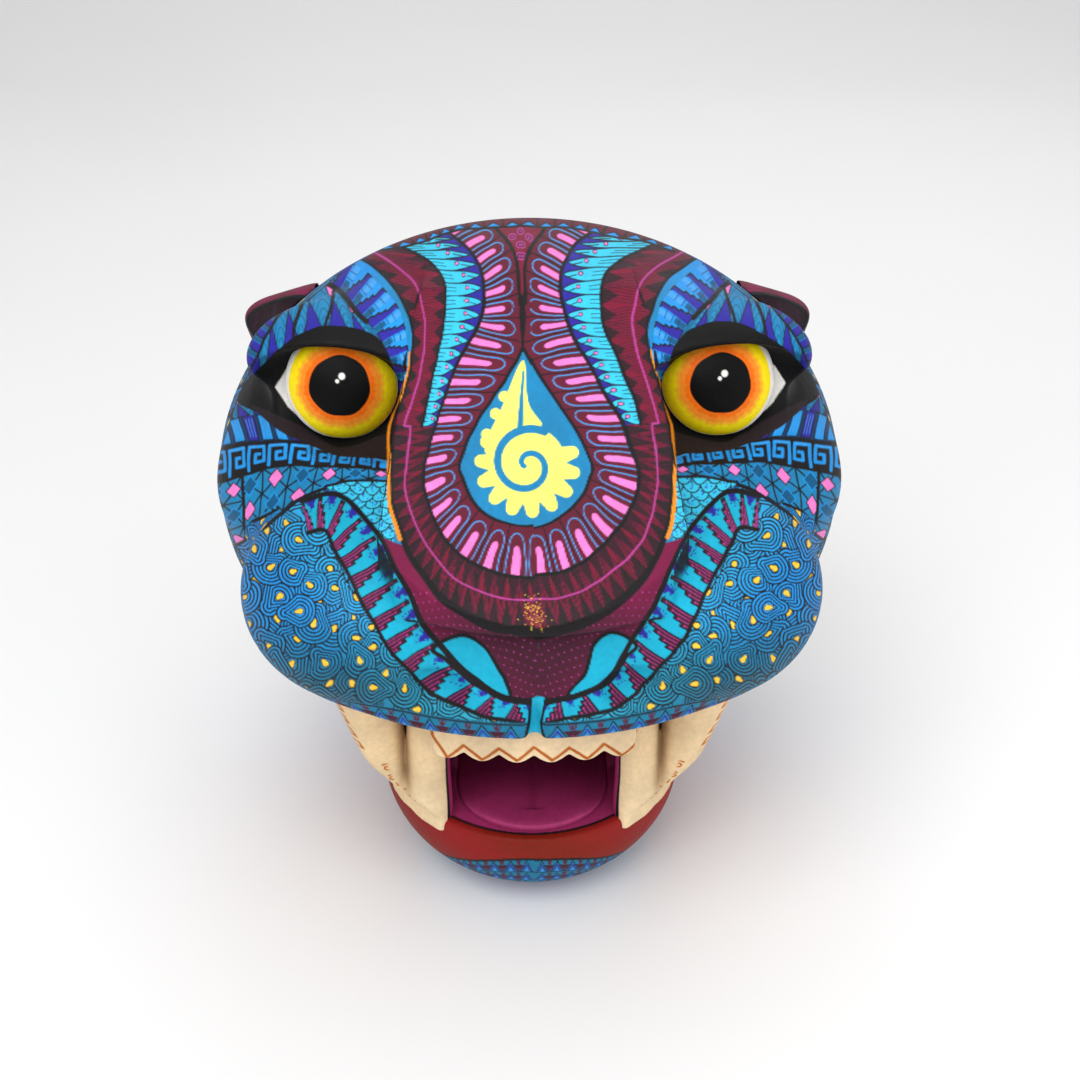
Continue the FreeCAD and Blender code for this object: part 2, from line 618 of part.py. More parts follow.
def pieces():
    """Every sub-part of the object."""
    made = [head_shell(), lower_jaw(), tongue(), upper_incisors()]
    made += fangs()
    for side_name, side in SIDES.items():
        made.append(cheek_teeth(side_name, side))
        made.append(side_ball("eye_" + side_name, "eye", side))
        made.append(ear(side_name, side))
        made.append(peg_shape("ear_peg_" + side_name, side, "sizes.peg_r", "0",
                              "sizes.peg_length"))
    dowels = dowel_set("dowel", "sizes.dowel_r", "sizes.dowel_bottom_z", "sizes.dowel_length")
    made.append(group("jaw_dowels", dowels))
    made += [hanger_strap(), hanger_ring()]
    made.append(group("hanger_screws", [hanger_screw("low"), hanger_screw("high")]))
    return made


def check_document():
    """Stop if any object failed to recompute."""
    for obj in doc.Objects:
        if "Invalid" in obj.State or "Error" in obj.State:
            raise RuntimeError("%s did not recompute: %s" % (obj.Name, obj.State))


def export(made):
    """Check each sub-part's shape and write it to its own file."""
    os.makedirs("parts", exist_ok=True)
    for obj in made:
        shape = obj.Shape
        if shape.isNull() or not shape.isValid():
            raise RuntimeError("%s has no valid shape" % obj.Label)
        size = shape.BoundBox
        print("%-20s solids %d volume %10.1f  x %.1f..%.1f  y %.1f..%.1f  z %.1f..%.1f" % (
            obj.Label, len(shape.Solids), shape.Volume,
            size.XMin, size.XMax, size.YMin, size.YMax, size.ZMin, size.ZMax))
        shape.exportStep("parts/%s.step" % obj.Label)


fill_sheet()
sub_parts = pieces()
doc.recompute()
check_document()
export(sub_parts)
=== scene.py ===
import math

import bpy
import numpy as np
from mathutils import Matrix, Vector


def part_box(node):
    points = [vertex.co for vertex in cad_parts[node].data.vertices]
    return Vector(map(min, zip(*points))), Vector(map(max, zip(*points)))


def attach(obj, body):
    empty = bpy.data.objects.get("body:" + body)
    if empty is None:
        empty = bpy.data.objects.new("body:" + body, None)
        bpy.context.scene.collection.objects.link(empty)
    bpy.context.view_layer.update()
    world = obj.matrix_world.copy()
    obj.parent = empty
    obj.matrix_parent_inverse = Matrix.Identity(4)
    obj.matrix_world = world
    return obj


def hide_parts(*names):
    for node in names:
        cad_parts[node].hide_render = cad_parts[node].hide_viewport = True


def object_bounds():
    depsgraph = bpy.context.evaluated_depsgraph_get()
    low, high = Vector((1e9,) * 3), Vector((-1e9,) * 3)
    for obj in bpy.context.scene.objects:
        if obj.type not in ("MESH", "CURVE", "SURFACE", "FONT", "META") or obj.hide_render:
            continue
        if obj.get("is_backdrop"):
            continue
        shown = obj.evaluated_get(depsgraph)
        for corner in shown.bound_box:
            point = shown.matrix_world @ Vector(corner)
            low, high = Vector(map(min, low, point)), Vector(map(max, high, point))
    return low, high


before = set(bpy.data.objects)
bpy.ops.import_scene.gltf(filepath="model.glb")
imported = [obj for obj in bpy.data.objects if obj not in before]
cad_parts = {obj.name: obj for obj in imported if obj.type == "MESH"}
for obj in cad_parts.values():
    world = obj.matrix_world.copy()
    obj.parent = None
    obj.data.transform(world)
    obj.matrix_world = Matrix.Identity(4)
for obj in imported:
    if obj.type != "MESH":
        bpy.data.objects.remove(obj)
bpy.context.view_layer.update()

# The painted feline head around its CAD frame. Work is done in millimetres and scaled to metres
# when a mesh is made. X is to the viewer's right, Y backwards, Z up.
MM = 0.001
SEED = 7


# ---------------------------------------------------------------- sizes read from the frame

def limits(node):
    """Lowest and highest corner of a CAD node, in millimetres."""
    low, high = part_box(node)
    return np.array(low) / MM, np.array(high) / MM


def centre_of(node):
    low, high = limits(node)
    return (low + high) / 2


HEAD_LOW, HEAD_HIGH = limits("head_shell")
JAW_LOW, JAW_HIGH = limits("lower_jaw")
HALF_WIDTH = HEAD_HIGH[0]
NOSE_TIP_Y = HEAD_LOW[1]
CROWN_Z = HEAD_HIGH[2]
JOINT_Z = HEAD_LOW[2]
EYE_CENTRE = centre_of("eye_right")
EYE_RADIUS = (limits("eye_right")[1][0] - limits("eye_right")[0][0]) / 2
LIP_Z = -20.0
MOUTH_BACK_Y = -95.0
RIM_Z = limits("upper_fang_right")[0][2] - 11
JAW_BAND_Z = RIM_Z - 11.0
LIP_BAND = 9.0
SKULL = ((0, -60, CROWN_Z - 115), (HALF_WIDTH, 126, 115))
PAD = ((64, -158, 12), (57, 64, 43))
HOLLOW = ((0, 0, 26), (100, 88, 62))
EAR_SCOOP = (118, -46, 92)
EAR_SCOOP_RADIUS = 19
EAR_TILT = 17.0
FACE_VIEW = np.array([0.0, -math.cos(math.radians(30)), math.sin(math.radians(30))])
VIEW_TARGET = np.array([0.0, -120.0, 10.0])
VIEW_DISTANCE = 750.0
EYE_POINT = VIEW_TARGET + VIEW_DISTANCE * FACE_VIEW
SIGHT = np.array([0.02, -0.955, 0.295])
SIGHT = SIGHT / np.linalg.norm(SIGHT)
FINENESS = 4
COARSER = 1


# ---------------------------------------------------------------- distance fields

def soft_min(a, b, k):
    h = np.clip(0.5 + 0.5 * (b - a) / k, 0, 1)
    return b + (a - b) * h - k * h * (1 - h)


def soft_max(a, b, k):
    return -soft_min(-a, -b, k)


def ellipsoid(x, y, z, centre, radii, turn=0.0):
    """Near-distance to an ellipsoid, turned about the vertical by some degrees."""
    x, y, z = x - centre[0], y - centre[1], z - centre[2]
    if turn:
        c, s = math.cos(math.radians(turn)), math.sin(math.radians(turn))
        x, y = c * x + s * y, c * y - s * x
    a, b, c = radii
    k0 = np.sqrt((x / a) ** 2 + (y / b) ** 2 + (z / c) ** 2)
    k1 = np.sqrt((x / a ** 2) ** 2 + (y / b ** 2) ** 2 + (z / c ** 2) ** 2)
    return k0 * (k0 - 1) / np.maximum(k1, 1e-6)


def ball(x, y, z, centre, radius):
    return np.sqrt((x - centre[0]) ** 2 + (y - centre[1]) ** 2 + (z - centre[2]) ** 2) - radius


def tapered(x, y, z, start, end, r0, r1):
    """A round cone with ball ends."""
    start, end = np.array(start, float), np.array(end, float)
    axis = end - start
    length2 = float(axis @ axis)
    t = ((x - start[0]) * axis[0] + (y - start[1]) * axis[1] + (z - start[2]) * axis[2]) / length2
    t = np.clip(t, 0, 1)
    d = np.sqrt((x - start[0] - t * axis[0]) ** 2 + (y - start[1] - t * axis[1]) ** 2
                + (z - start[2] - t * axis[2]) ** 2)
    return d - (r0 + (r1 - r0) * t)


def drum(x, y, z, centre_y, rx, ry, low, high, edge):
    """An upright elliptical drum with rounded edges."""
    y = y - centre_y
    k0 = np.sqrt((x / rx) ** 2 + (y / ry) ** 2)
    k1 = np.sqrt((x / rx ** 2) ** 2 + (y / ry ** 2) ** 2)
    side = k0 * (k0 - 1) / np.maximum(k1, 1e-6) + edge
    cap = np.abs(z - (low + high) / 2) - (high - low) / 2 + edge
    outside = np.sqrt(np.maximum(side, 0) ** 2 + np.maximum(cap, 0) ** 2)
    return outside + np.minimum(np.maximum(side, cap), 0) - edge


def band_top(y):
    """Height of the nose band's ridge from the forehead to the nose tip."""
    ys = np.array([NOSE_TIP_Y, -229, -216, -195, -165, -130, -100, -84, -66])
    zs = np.array([40, 46, 54, 64, 84, 106, 120, 122, 114])
    return np.interp(y, ys, zs)


def band_half(y):
    """Half the width of the nose band."""
    ys = np.array([NOSE_TIP_Y, -233, -227, -216, -203, -165, -120, -70])
    return np.interp(y, ys, np.array([10, 24, 39, 53, 60, 55, 48, 42]))


def head_field(x, y, z):
    """The head carving without its hollow: negative inside the wood."""
    x = np.abs(x)
    skull = ellipsoid(x, y, z, *SKULL)
    f = soft_min(skull, ellipsoid(x, y, z, (90, -96, 28), (47, 51, 31)), 10)
    f = soft_min(f, ellipsoid(x, y, z, (74, -104, 93), (45, 35, 22), -10), 12)
    socket = ellipsoid(x, y, z, (81, -138, 84), (43, 29, 23), 20)
    f = soft_max(f, -socket, 4)
    muzzle = drum(x, y, z, -148, 106, 80, -40, 46, 24)
    pad = ellipsoid(x, y, z, *PAD)
    f = soft_min(f, soft_min(muzzle, pad, 7), 5)
    band = np.maximum((z - band_top(y)) * 0.78, (x - band_half(y)) * 0.92)
    under = 27 + 8 * np.clip((-206 - y) / 20, 0, 1)
    band = np.maximum(band, np.maximum(under - z, np.maximum(NOSE_TIP_Y - y, y + 66)))
    f = soft_min(f, band, 2.5)
    nostril = ellipsoid(x, y, z, (38, -225, 3), (12, 9, 9))
    f = soft_max(f, -nostril, 4)
    philtrum = ellipsoid(x, y, z, (0, -232, -14), (3.2, 9, 15))
    f = soft_max(f, -philtrum, 2)
    return soft_max(f, -(z - LIP_Z), 5)


def head_solid(x, y, z):
    """The whole head carving: back plane, joint plane, hollow and hanger recess."""
    f = head_field(x, y, z)
    skull = ellipsoid(x, y, z, *SKULL)
    rear = np.maximum(skull, np.maximum(JOINT_Z - z, MOUTH_BACK_Y - y))
    f = np.minimum(f, rear)
    f = soft_max(f, y, 1.5)
    hollow = ellipsoid(x, y, z, *HOLLOW)
    f = soft_max(f, -hollow, 1.5)
    recess = np.maximum(np.maximum(np.abs(x) - 11.5, -5.4 - y), np.abs(z - 92.75) - 14.75)
    f = np.maximum(f, -recess)
    seat = ball(np.abs(x), y, z, EYE_CENTRE, EYE_RADIUS + 0.15)
    return np.maximum(f, -seat)


# ---------------------------------------------------------------- surface from a distance field

def sample_field(field, low, high, step):
    """Field values on a grid; blocks far from the surface are only sampled at their centre."""
    block = 6
    counts = np.ceil((high - low) / step / block).astype(int) * block
    axes = [low[i] + step * np.arange(counts[i]) for i in range(3)]
    mids = [a.reshape(-1, block).mean(1) for a in axes]
    cx, cy, cz = np.meshgrid(*mids, indexing="ij")
    coarse = field(cx.ravel(), cy.ravel(), cz.ravel()).reshape(cx.shape)
    values = np.repeat(np.repeat(np.repeat(coarse, block, 0), block, 1), block, 2)
    values = values.astype(np.float32)
    near = np.argwhere(np.abs(coarse) < step * block * 1.6)
    offset = np.stack(np.meshgrid(*[np.arange(block)] * 3, indexing="ij"), -1).reshape(-1, 3)
    for part in np.array_split(near, max(1, len(near) // 4000)):
        index = (part[:, None, :] * block + offset[None]).reshape(-1, 3)
        x, y, z = (axes[i][index[:, i]] for i in range(3))
        values[index[:, 0], index[:, 1], index[:, 2]] = field(x, y, z)
    return values, axes


def surface_net(values, axes):
    """Vertices and quads of the zero surface, one vertex in each cell that it crosses."""
    low = np.array([a[0] for a in axes])
    step = axes[0][1] - axes[0][0]
    inside = values < 0
    shape = np.array(values.shape) - 1
    cells, points, quads = [], [], []
    for axis in range(3):
        first = [slice(1, -1)] * 3
        second = [slice(1, -1)] * 3
        first[axis], second[axis] = slice(0, -1), slice(1, None)
        start, end = inside[tuple(first)], inside[tuple(second)]
        where = np.argwhere(start != end)
        shift = np.ones(3, int)
        shift[axis] = 0
        where = where + shift
        ahead = where.copy()
        ahead[:, axis] += 1
        a = values[tuple(where.T)]
        b = values[tuple(ahead.T)]
        crossing = where.astype(float)
        crossing[:, axis] += a / (a - b)
        u, v = (axis + 1) % 3, (axis + 2) % 3
        ring = []
        for du, dv in ((0, 0), (-1, 0), (-1, -1), (0, -1)):
            cell = where.copy()
            cell[:, u] += du
            cell[:, v] += dv
            ring.append((cell[:, 0] * shape[1] + cell[:, 1]) * shape[2] + cell[:, 2])
        ring = np.stack(ring, 1)
        cells.append(ring.ravel())
        points.append(np.repeat(crossing, 4, 0))
        quads.append(np.where((a < 0)[:, None], ring[:, ::-1], ring))
    cells, points = np.concatenate(cells), np.concatenate(points)
    quads = np.concatenate(quads)
    ids, inverse = np.unique(cells, return_inverse=True)
    count = np.bincount(inverse)
    vertices = np.stack([np.bincount(inverse, points[:, i]) / count for i in range(3)], 1)
    return low + vertices * step, np.searchsorted(ids, quads)[:, ::-1]


def relax(vertices, quads, rounds, strength=0.5):
    """Even out the steps of the grid by moving each vertex towards its neighbours' mean."""
    edges = np.concatenate([quads[:, [0, 1]], quads[:, [1, 2]], quads[:, [2, 3]], quads[:, [3, 0]]])
    a, b = edges[:, 0], edges[:, 1]
    count = np.bincount(a, minlength=len(vertices)) + np.bincount(b, minlength=len(vertices))
    for turn in range(rounds):
        step = strength if turn % 2 == 0 else -strength * 1.03
        for i in range(3):
            total = np.bincount(a, vertices[b, i], len(vertices))
            total += np.bincount(b, vertices[a, i], len(vertices))
            vertices[:, i] += step * (total / count - vertices[:, i])
    return vertices


def new_mesh(name, vertices, quads):
    """A smooth-shaded mesh object from millimetre vertices and quads."""
    mesh = bpy.data.meshes.new(name)
    mesh.vertices.add(len(vertices))
    mesh.vertices.foreach_set("co", (vertices * MM).astype(np.float32).ravel())
    mesh.loops.add(quads.size)
    mesh.loops.foreach_set("vertex_index", quads.astype(np.int32).ravel())
    mesh.polygons.add(len(quads))
    mesh.polygons.foreach_set("loop_start", np.arange(0, quads.size, 4, dtype=np.int32))
    mesh.update(calc_edges=True)
    mesh.validate()
    mesh.shade_smooth()
    obj = bpy.data.objects.new(name, mesh)
    bpy.context.collection.objects.link(obj)
    return obj


def subdivide(obj):
    """Replace the mesh by its once-subdivided form."""
    modifier = obj.modifiers.new("finer", "SUBSURF")
    modifier.levels = modifier.render_levels = 1
    graph = bpy.context.evaluated_depsgraph_get()
    finer = bpy.data.meshes.new_from_object(obj.evaluated_get(graph))
    obj.modifiers.clear()
    old = obj.data
    obj.data = finer
    bpy.data.meshes.remove(old)
    finer.name = obj.name
    return obj


def carve(name, field, low, high, step, smooth=4, levels=1):
    """A closed mesh object for a distance field inside a box."""
    values, axes = sample_field(field, np.array(low, float), np.array(high, float), step)
    vertices, quads = surface_net(values, axes)
    vertices = relax(vertices, quads, smooth)
    obj = new_mesh(name, vertices, quads)
    for _ in range(levels):
        subdivide(obj)
    return obj


def vertex_arrays(obj):
    """Vertex positions in millimetres and vertex normals."""
    mesh = obj.data
    co = np.empty(len(mesh.vertices) * 3, np.float32)
    mesh.vertices.foreach_get("co", co)
    normal = np.empty(len(mesh.vertices) * 3, np.float32)
    mesh.vertex_normals.foreach_get("vector", normal)
    return co.reshape(-1, 3) / MM, normal.reshape(-1, 3)


# ---------------------------------------------------------------- paint on flat sheets

PAINT = {
    "night": (0.09, 0.08, 0.09), "soot": (0.15, 0.11, 0.12), "maroon": (0.38, 0.10, 0.18),
    "wine": (0.47, 0.08, 0.19), "plum": (0.27, 0.09, 0.17), "pink": (0.95, 0.50, 0.80),
    "magenta": (0.70, 0.24, 0.56), "sky": (0.27, 0.62, 0.90), "cyan": (0.22, 0.77, 0.90),
    "azure": (0.12, 0.57, 0.88), "teal": (0.09, 0.46, 0.60), "lagoon": (0.11, 0.50, 0.70),
    "ocean": (0.06, 0.34, 0.50), "indigo": (0.17, 0.15, 0.60), "navy": (0.08, 0.22, 0.40),
    "lemon": (1.00, 0.98, 0.45), "gold": (0.98, 0.80, 0.25), "amber": (0.93, 0.56, 0.12),
    "crimson": (0.46, 0.08, 0.25), "turquoise": (0.08, 0.67, 0.80), "dusk": (0.30, 0.25, 0.60),
    "throat": (0.46, 0.11, 0.27), "tongue": (0.66, 0.20, 0.42), "rosy": (0.74, 0.28, 0.50),
    "lip": (0.57, 0.09, 0.11), "ember": (0.50, 0.12, 0.05), "cream": (0.88, 0.76, 0.58),
    "ivory": (0.93, 0.83, 0.67), "shade": (0.40, 0.27, 0.15), "umber": (0.72, 0.38, 0.10),
    "white": (0.93, 0.92, 0.90), "iris_edge": (0.99, 0.88, 0.08), "iris": (0.98, 0.68, 0.18),
    "orange": (0.96, 0.52, 0.16), "flame": (0.93, 0.40, 0.06), "pitch": (0.03, 0.03, 0.03),
    "wood": (0.80, 0.62, 0.42), "white_mask": (1, 1, 1),
}


def paint(name):
    return np.array(PAINT[name], np.float32)


def mix(first, second, share):
    """A colour part of the way from one named colour to another; share may be an array."""
    share = np.clip(np.asarray(share, np.float32), 0, 1)[..., None]
    return paint(first) * (1 - share) + paint(second) * share


class Sheet:
    """A flat sheet of paint addressed in millimetres: u to the right, v up."""

    def __init__(self, low, high, fineness, base):
        self.low = np.array(low, float)
        self.fineness = fineness
        columns, rows = np.ceil((np.array(high) - self.low) * fineness).astype(int)
        self.paint = np.empty((rows, columns, 3), np.float32)
        self.paint[:] = paint(base)
        self.stencil = None

    def window(self, low, high):
        """The part of the sheet inside a box: its index ranges and its u and v."""
        first = np.floor((np.array(low) - self.low) * self.fineness).astype(int) - 1
        last = np.ceil((np.array(high) - self.low) * self.fineness).astype(int) + 2
        rows, columns = self.paint.shape[:2]
        left, right = np.clip([first[0], last[0]], 0, columns)
        bottom, top = np.clip([first[1], last[1]], 0, rows)
        u = self.low[0] + (np.arange(left, right) + 0.5) / self.fineness
        v = self.low[1] + (np.arange(bottom, top) + 0.5) / self.fineness
        return (slice(bottom, top), slice(left, right)), u, v

    def lay(self, area, cover, colour):
        """Paint a colour over part of the sheet, as thickly as cover says."""
        if self.stencil is not None:
            cover = cover * self.stencil[area]
        patch = self.paint[area]
        patch += (colour - patch) * cover[..., None]

    def shape(self, points):
        """How much of each spot in a closed outline's window lies inside the outline."""
        points = np.asarray(points, float)
        area, u, v = self.window(points.min(0), points.max(0))
        inside = np.zeros((len(v), len(u)), bool)
        gap = np.full(inside.shape, 9.0, np.float32)
        edge = 1.5 / self.fineness
        for (au, av), (bu, bv) in zip(points, np.roll(points, -1, 0)):
            du, dv = bu - au, bv - av
            if dv:
                rows = slice(*np.searchsorted(v, sorted((av, bv))))
                inside[rows] ^= u[None, :] < (du * (v[rows, None] - av) / dv + au)
            rows = slice(*np.searchsorted(v, (min(av, bv) - edge, max(av, bv) + edge)))
            columns = slice(*np.searchsorted(u, (min(au, bu) - edge, max(au, bu) + edge)))
            pu, pv = u[None, columns] - au, v[rows, None] - av
            t = np.clip((pu * du + pv * dv) / max(du * du + dv * dv, 1e-9), 0, 1)
            near = np.hypot(pu - t * du, pv - t * dv)
            gap[rows, columns] = np.minimum(gap[rows, columns], near)
        signed = np.where(inside, -gap, gap)
        return area, np.clip(0.5 - signed * self.fineness, 0, 1)

    def fill(self, points, colour):
        """Fill an outline. The colour is a name, or a function of u and v."""
        area, cover = self.shape(points)
        if callable(colour):
            _, u, v = self.window(np.min(points, 0), np.max(points, 0))
            self.lay(area, cover, colour(u[None, :], v[:, None]))
        else:
            self.lay(area, cover, paint(colour))

    def panel(self, points, colour, width, line="night", closed=True):
        """A filled outline with a brush line round it."""
        self.fill(points, colour)
        self.stroke(points, width, line, closed)

    def keep_inside(self, points):
        """Only the inside of this outline takes paint from now on; None lifts the stencil."""
        self.stencil = None
        if points is not None:
            stencil = np.zeros(self.paint.shape[:2], np.float32)
            area, cover = self.shape(points)
            stencil[area] = cover
            self.stencil = stencil

    def stroke(self, points, width, colour, closed=False):
        """A brush line; width is one number or one for each point."""
        points = np.asarray(points, float).reshape(-1, 2)
        width = np.broadcast_to(np.asarray(width, float), len(points))
        if closed:
            points = np.concatenate([points, points[:1]])
            width = np.append(width, width[0])
        if len(points) == 1:
            points = np.repeat(points, 2, 0)
            width = np.repeat(width, 2)
        pad = width.max() / 2 + 1 / self.fineness
        area, u, v = self.window(points.min(0) - pad, points.max(0) + pad)
        cover = np.zeros((len(v), len(u)), np.float32)
        for a, b, wa, wb in zip(points[:-1], points[1:], width[:-1], width[1:]):
            low, high = np.minimum(a, b) - pad, np.maximum(a, b) + pad
            columns = slice(*np.searchsorted(u, (low[0], high[0])))
            rows = slice(*np.searchsorted(v, (low[1], high[1])))
            pu, pv = u[None, columns] - a[0], v[rows, None] - a[1]
            du, dv = b - a
            t = np.clip((pu * du + pv * dv) / max(du * du + dv * dv, 1e-9), 0, 1)
            reach = (wa + (wb - wa) * t) / 2 - np.hypot(pu - t * du, pv - t * dv)
            cover[rows, columns] = np.maximum(cover[rows, columns],
                                              np.clip(0.5 + reach * self.fineness, 0, 1))
        self.lay(area, cover, paint(colour))

    def dots(self, centres, size, colour):
        """Round dots; size is their diameter."""
        for centre in np.asarray(centres, float).reshape(-1, 2):
            self.stroke(centre, size, colour)

    def look_up(self, u, v):
        """The colours at many places, blended between neighbouring spots."""
        rows, columns = self.paint.shape[:2]
        x = np.clip((u - self.low[0]) * self.fineness - 0.5, 0, columns - 1.001)
        y = np.clip((v - self.low[1]) * self.fineness - 0.5, 0, rows - 1.001)
        i, j = x.astype(int), y.astype(int)
        fx, fy = (x - i)[:, None], (y - j)[:, None]
        low = self.paint[j, i] * (1 - fx) + self.paint[j, i + 1] * fx
        high = self.paint[j + 1, i] * (1 - fx) + self.paint[j + 1, i + 1] * fx
        return low * (1 - fy) + high * fy


def curve(points, closed=False, steps=8):
    """A smooth line through a few points, with the same number of steps in each stretch."""
    points = np.asarray(points, float)
    if closed:
        padded = np.concatenate([points[-1:], points, points[:2]])
    else:
        padded = np.concatenate([2 * points[:1] - points[1:2], points,
                                 2 * points[-1:] - points[-2:-1]])
    t = np.linspace(0, 1, steps, endpoint=False)[:, None]
    made = []
    for a, b, c, d in zip(padded[:-3], padded[1:-2], padded[2:-1], padded[3:]):
        made.append(0.5 * (2 * b + (c - a) * t + (2 * a - 5 * b + 4 * c - d) * t ** 2
                           + (3 * b - a - 3 * c + d) * t ** 3))
    if not closed:
        made.append(points[-1:])
    return np.concatenate(made)


def evenly(path, count, guide=None, crowd=1.0):
    """The same line with its points at equal steps of the guide line, or of its own length.
    With crowd above one, the steps are shorter near the start."""
    guide = path if guide is None else guide
    steps = np.linalg.norm(np.diff(guide, axis=0), axis=1)
    along = np.concatenate([[0], np.cumsum(steps)])
    places = along[-1] * np.linspace(0, 1, count) ** crowd
    return np.stack([np.interp(places, along, path[:, i]) for i in range(2)], 1)


class Strip:
    """The band between two lines through matching points: s along it, t across, 0 to 1."""

    def __init__(self, near, far, samples=300, crowd=1.0):
        near, far = curve(near), curve(far)
        middle = (near + far) / 2
        self.near = evenly(near, samples, middle, crowd)
        self.far = evenly(far, samples, middle, crowd)

    def at(self, s, t):
        s, t = np.broadcast_arrays(np.asarray(s, float), np.asarray(t, float))
        place = np.clip(s, 0, 1) * (len(self.near) - 1)
        low = np.minimum(place.astype(int), len(self.near) - 2)
        part = (place - low)[..., None]
        near = self.near[low] * (1 - part) + self.near[low + 1] * part
        far = self.far[low] * (1 - part) + self.far[low + 1] * part
        return near * (1 - t[..., None]) + far * t[..., None]

    def cell(self, index, count, points):
        """Points of a unit cell (x along, y across) as they lie in one of count cells."""
        points = np.asarray(points, float)
        return self.at((index + points[:, 0]) / count, points[:, 1])

    def outline(self):
        return np.concatenate([self.near, self.far[::-1]])


def finger(low, high, base, tip, bend):
    """A finger in a unit cell, square at its base and round at its tip."""
    angles = np.linspace(0, math.pi, 9)
    middle, half = (low + high) / 2, (high - low) / 2
    side = 1 if base > tip else -1
    cap = [(middle - half * math.cos(a), tip + side * bend * (1 - math.sin(a))) for a in angles]
    return [(low, base)] + cap + [(high, base)]


def draw_petals(sheet, strip, count):
    """Pink fingers, each inside a thin blue loop, on dark red."""
    sheet.fill(strip.outline(), "maroon")
    for i in range(count):
        sheet.stroke(strip.cell(i, count, [(0, 0), (0, 1)]), 0.45, "night")
        sheet.stroke(strip.cell(i, count, finger(0.14, 0.86, 1.0, 0.17, 0.20)), 0.55, "sky")
        sheet.fill(strip.cell(i, count, finger(0.35, 0.66, 0.98, 0.40, 0.10)), "pink")


def draw_feathers(sheet, strip, count):
    """Overlapping pale feathers with an eye dot each, and indigo gaps between their tips."""
    sheet.fill(strip.outline(), "indigo")
    leaf = curve([(0.0, 1.0), (-0.02, 0.62), (0.10, 0.30), (0.42, 0.06), (0.74, 0.26),
                  (0.98, 0.60), (1.0, 1.0)], steps=4)
    for i in range(count):
        sheet.panel(strip.cell(i, count, leaf), "cyan", 0.45, closed=False)
        sheet.stroke(strip.cell(i, count, [(0.62, 0.18), (0.46, 0.34)]), 0.35, "night")
        for x in (0.3, 0.62):
            sheet.stroke(strip.cell(i, count, [(x, 1.0), (x * 0.8 + 0.12, 0.70)]), 0.22, "night")
        for size, colour in ((2.0, "night"), (1.4, "pink")):
            sheet.dots(strip.cell(i, count, [(0.36, 0.42)]), size, colour)


def draw_hatching(sheet, strip, count, dark):
    """Dark wedges between hatched red ones."""
    sheet.fill(strip.outline(), "wine")
    for i in range(count):
        for wedge in ([(0.0, 0.0), (0.5, dark), (1.0, 0.0)], [(-0.5, 1.0), (0.0, 1 - dark), (0.5, 1.0)]):
            sheet.fill(strip.cell(i, count, wedge), "soot")
        for j in range(6):
            x = (j + 0.5) / 6
            lean = 0.25 if i % 2 else -0.25
            ends = [(x - lean, 0.04), (x, 0.5), (x - lean, 0.96)]
            sheet.stroke(strip.cell(i, count, ends), 0.35, "plum")


def draw_dashes(sheet, path, step, width, colour):
    """A line of short dashes."""
    length = np.linalg.norm(np.diff(path, axis=0), axis=1).sum()
    count = int(length / step)
    places = evenly(path, count * 3 + 1)
    for i in range(count):
        sheet.stroke(places[3 * i:3 * i + 3], width, colour)


def draw_frets(sheet, strip, count):
    """Stepped dark blocks with pins, on cyan, and a cloud of indigo specks inside each gap."""
    chance = np.random.default_rng(SEED)
    sheet.fill(strip.outline(), "turquoise")
    stairs = [(0.06, 1.0), (0.06, 0.10), (0.20, 0.10), (0.20, 0.32), (0.34, 0.32), (0.34, 0.54),
              (0.48, 0.54), (0.48, 0.76), (0.62, 0.76), (0.62, 1.0)]
    for i in range(count):
        cloud = chance.normal(0, 1, (34, 2)) * (0.13, 0.12) + (0.66, 0.16)
        sheet.dots(strip.cell(i, count, cloud), 0.7, "indigo")
        clump = [(0.60, 0.08), (0.74, 0.10), (0.66, 0.17), (0.70, 0.24)]
        sheet.dots(strip.cell(i, count, clump), 2.0, "indigo")
        sheet.panel(strip.cell(i, count, stairs), "plum", 0.6, closed=False)
        for x, reach in ((0.13, 0.22), (0.26, 0.44), (0.40, 0.66), (0.54, 0.86)):
            pin = strip.cell(i, count, [(x, 0.97), (x, reach)])
            sheet.stroke(pin, 0.4, "magenta")
            sheet.dots(pin[1:], 1.0, "magenta")


def draw_lip(sheet, strip, count):
    """Nested triangles on their base, dark gaps with a pink dot, and short dashes above."""
    sheet.fill(strip.outline(), "teal")
    for i in range(count):
        for x in (0.38, 0.46, 0.54, 0.62):
            dash = [(0.5 + x, 0.92), (0.5 + (x + 0.5) / 2, 0.66)]
            sheet.stroke(strip.cell(i, count, dash), 0.45, "maroon")
        sheet.fill(strip.cell(i, count, [(0.70, 0.60), (1.30, 0.60), (1.0, 0.02)]), "plum")
        sheet.dots(strip.cell(i, count, [(1.0, 0.28)]), 0.8, "magenta")
        outer = [(0.08, 0.0), (0.5, 0.9), (0.92, 0.0)]
        sheet.panel(strip.cell(i, count, outer), "lagoon", 0.5, closed=False)
        sheet.stroke(strip.cell(i, count, [(0.26, 0.10), (0.5, 0.62), (0.74, 0.10)]), 0.7, "indigo")
        sheet.stroke(strip.cell(i, count, [(0.42, 0.12), (0.5, 0.30), (0.58, 0.12)]), 0.5, "sky")


def draw_meander(sheet, strip, count):
    """A key pattern in light blue on black."""
    sheet.fill(strip.outline(), "night")
    key = [(0.04, 0.10), (0.10, 0.86), (0.82, 0.86), (0.82, 0.30), (0.40, 0.30), (0.42, 0.58),
           (0.62, 0.58)]
    for i in range(count):
        place = strip.cell(i, count, key)
        sheet.stroke(place, 1.5, "azure")
        sheet.stroke(place[1:3], 0.5, "sky")


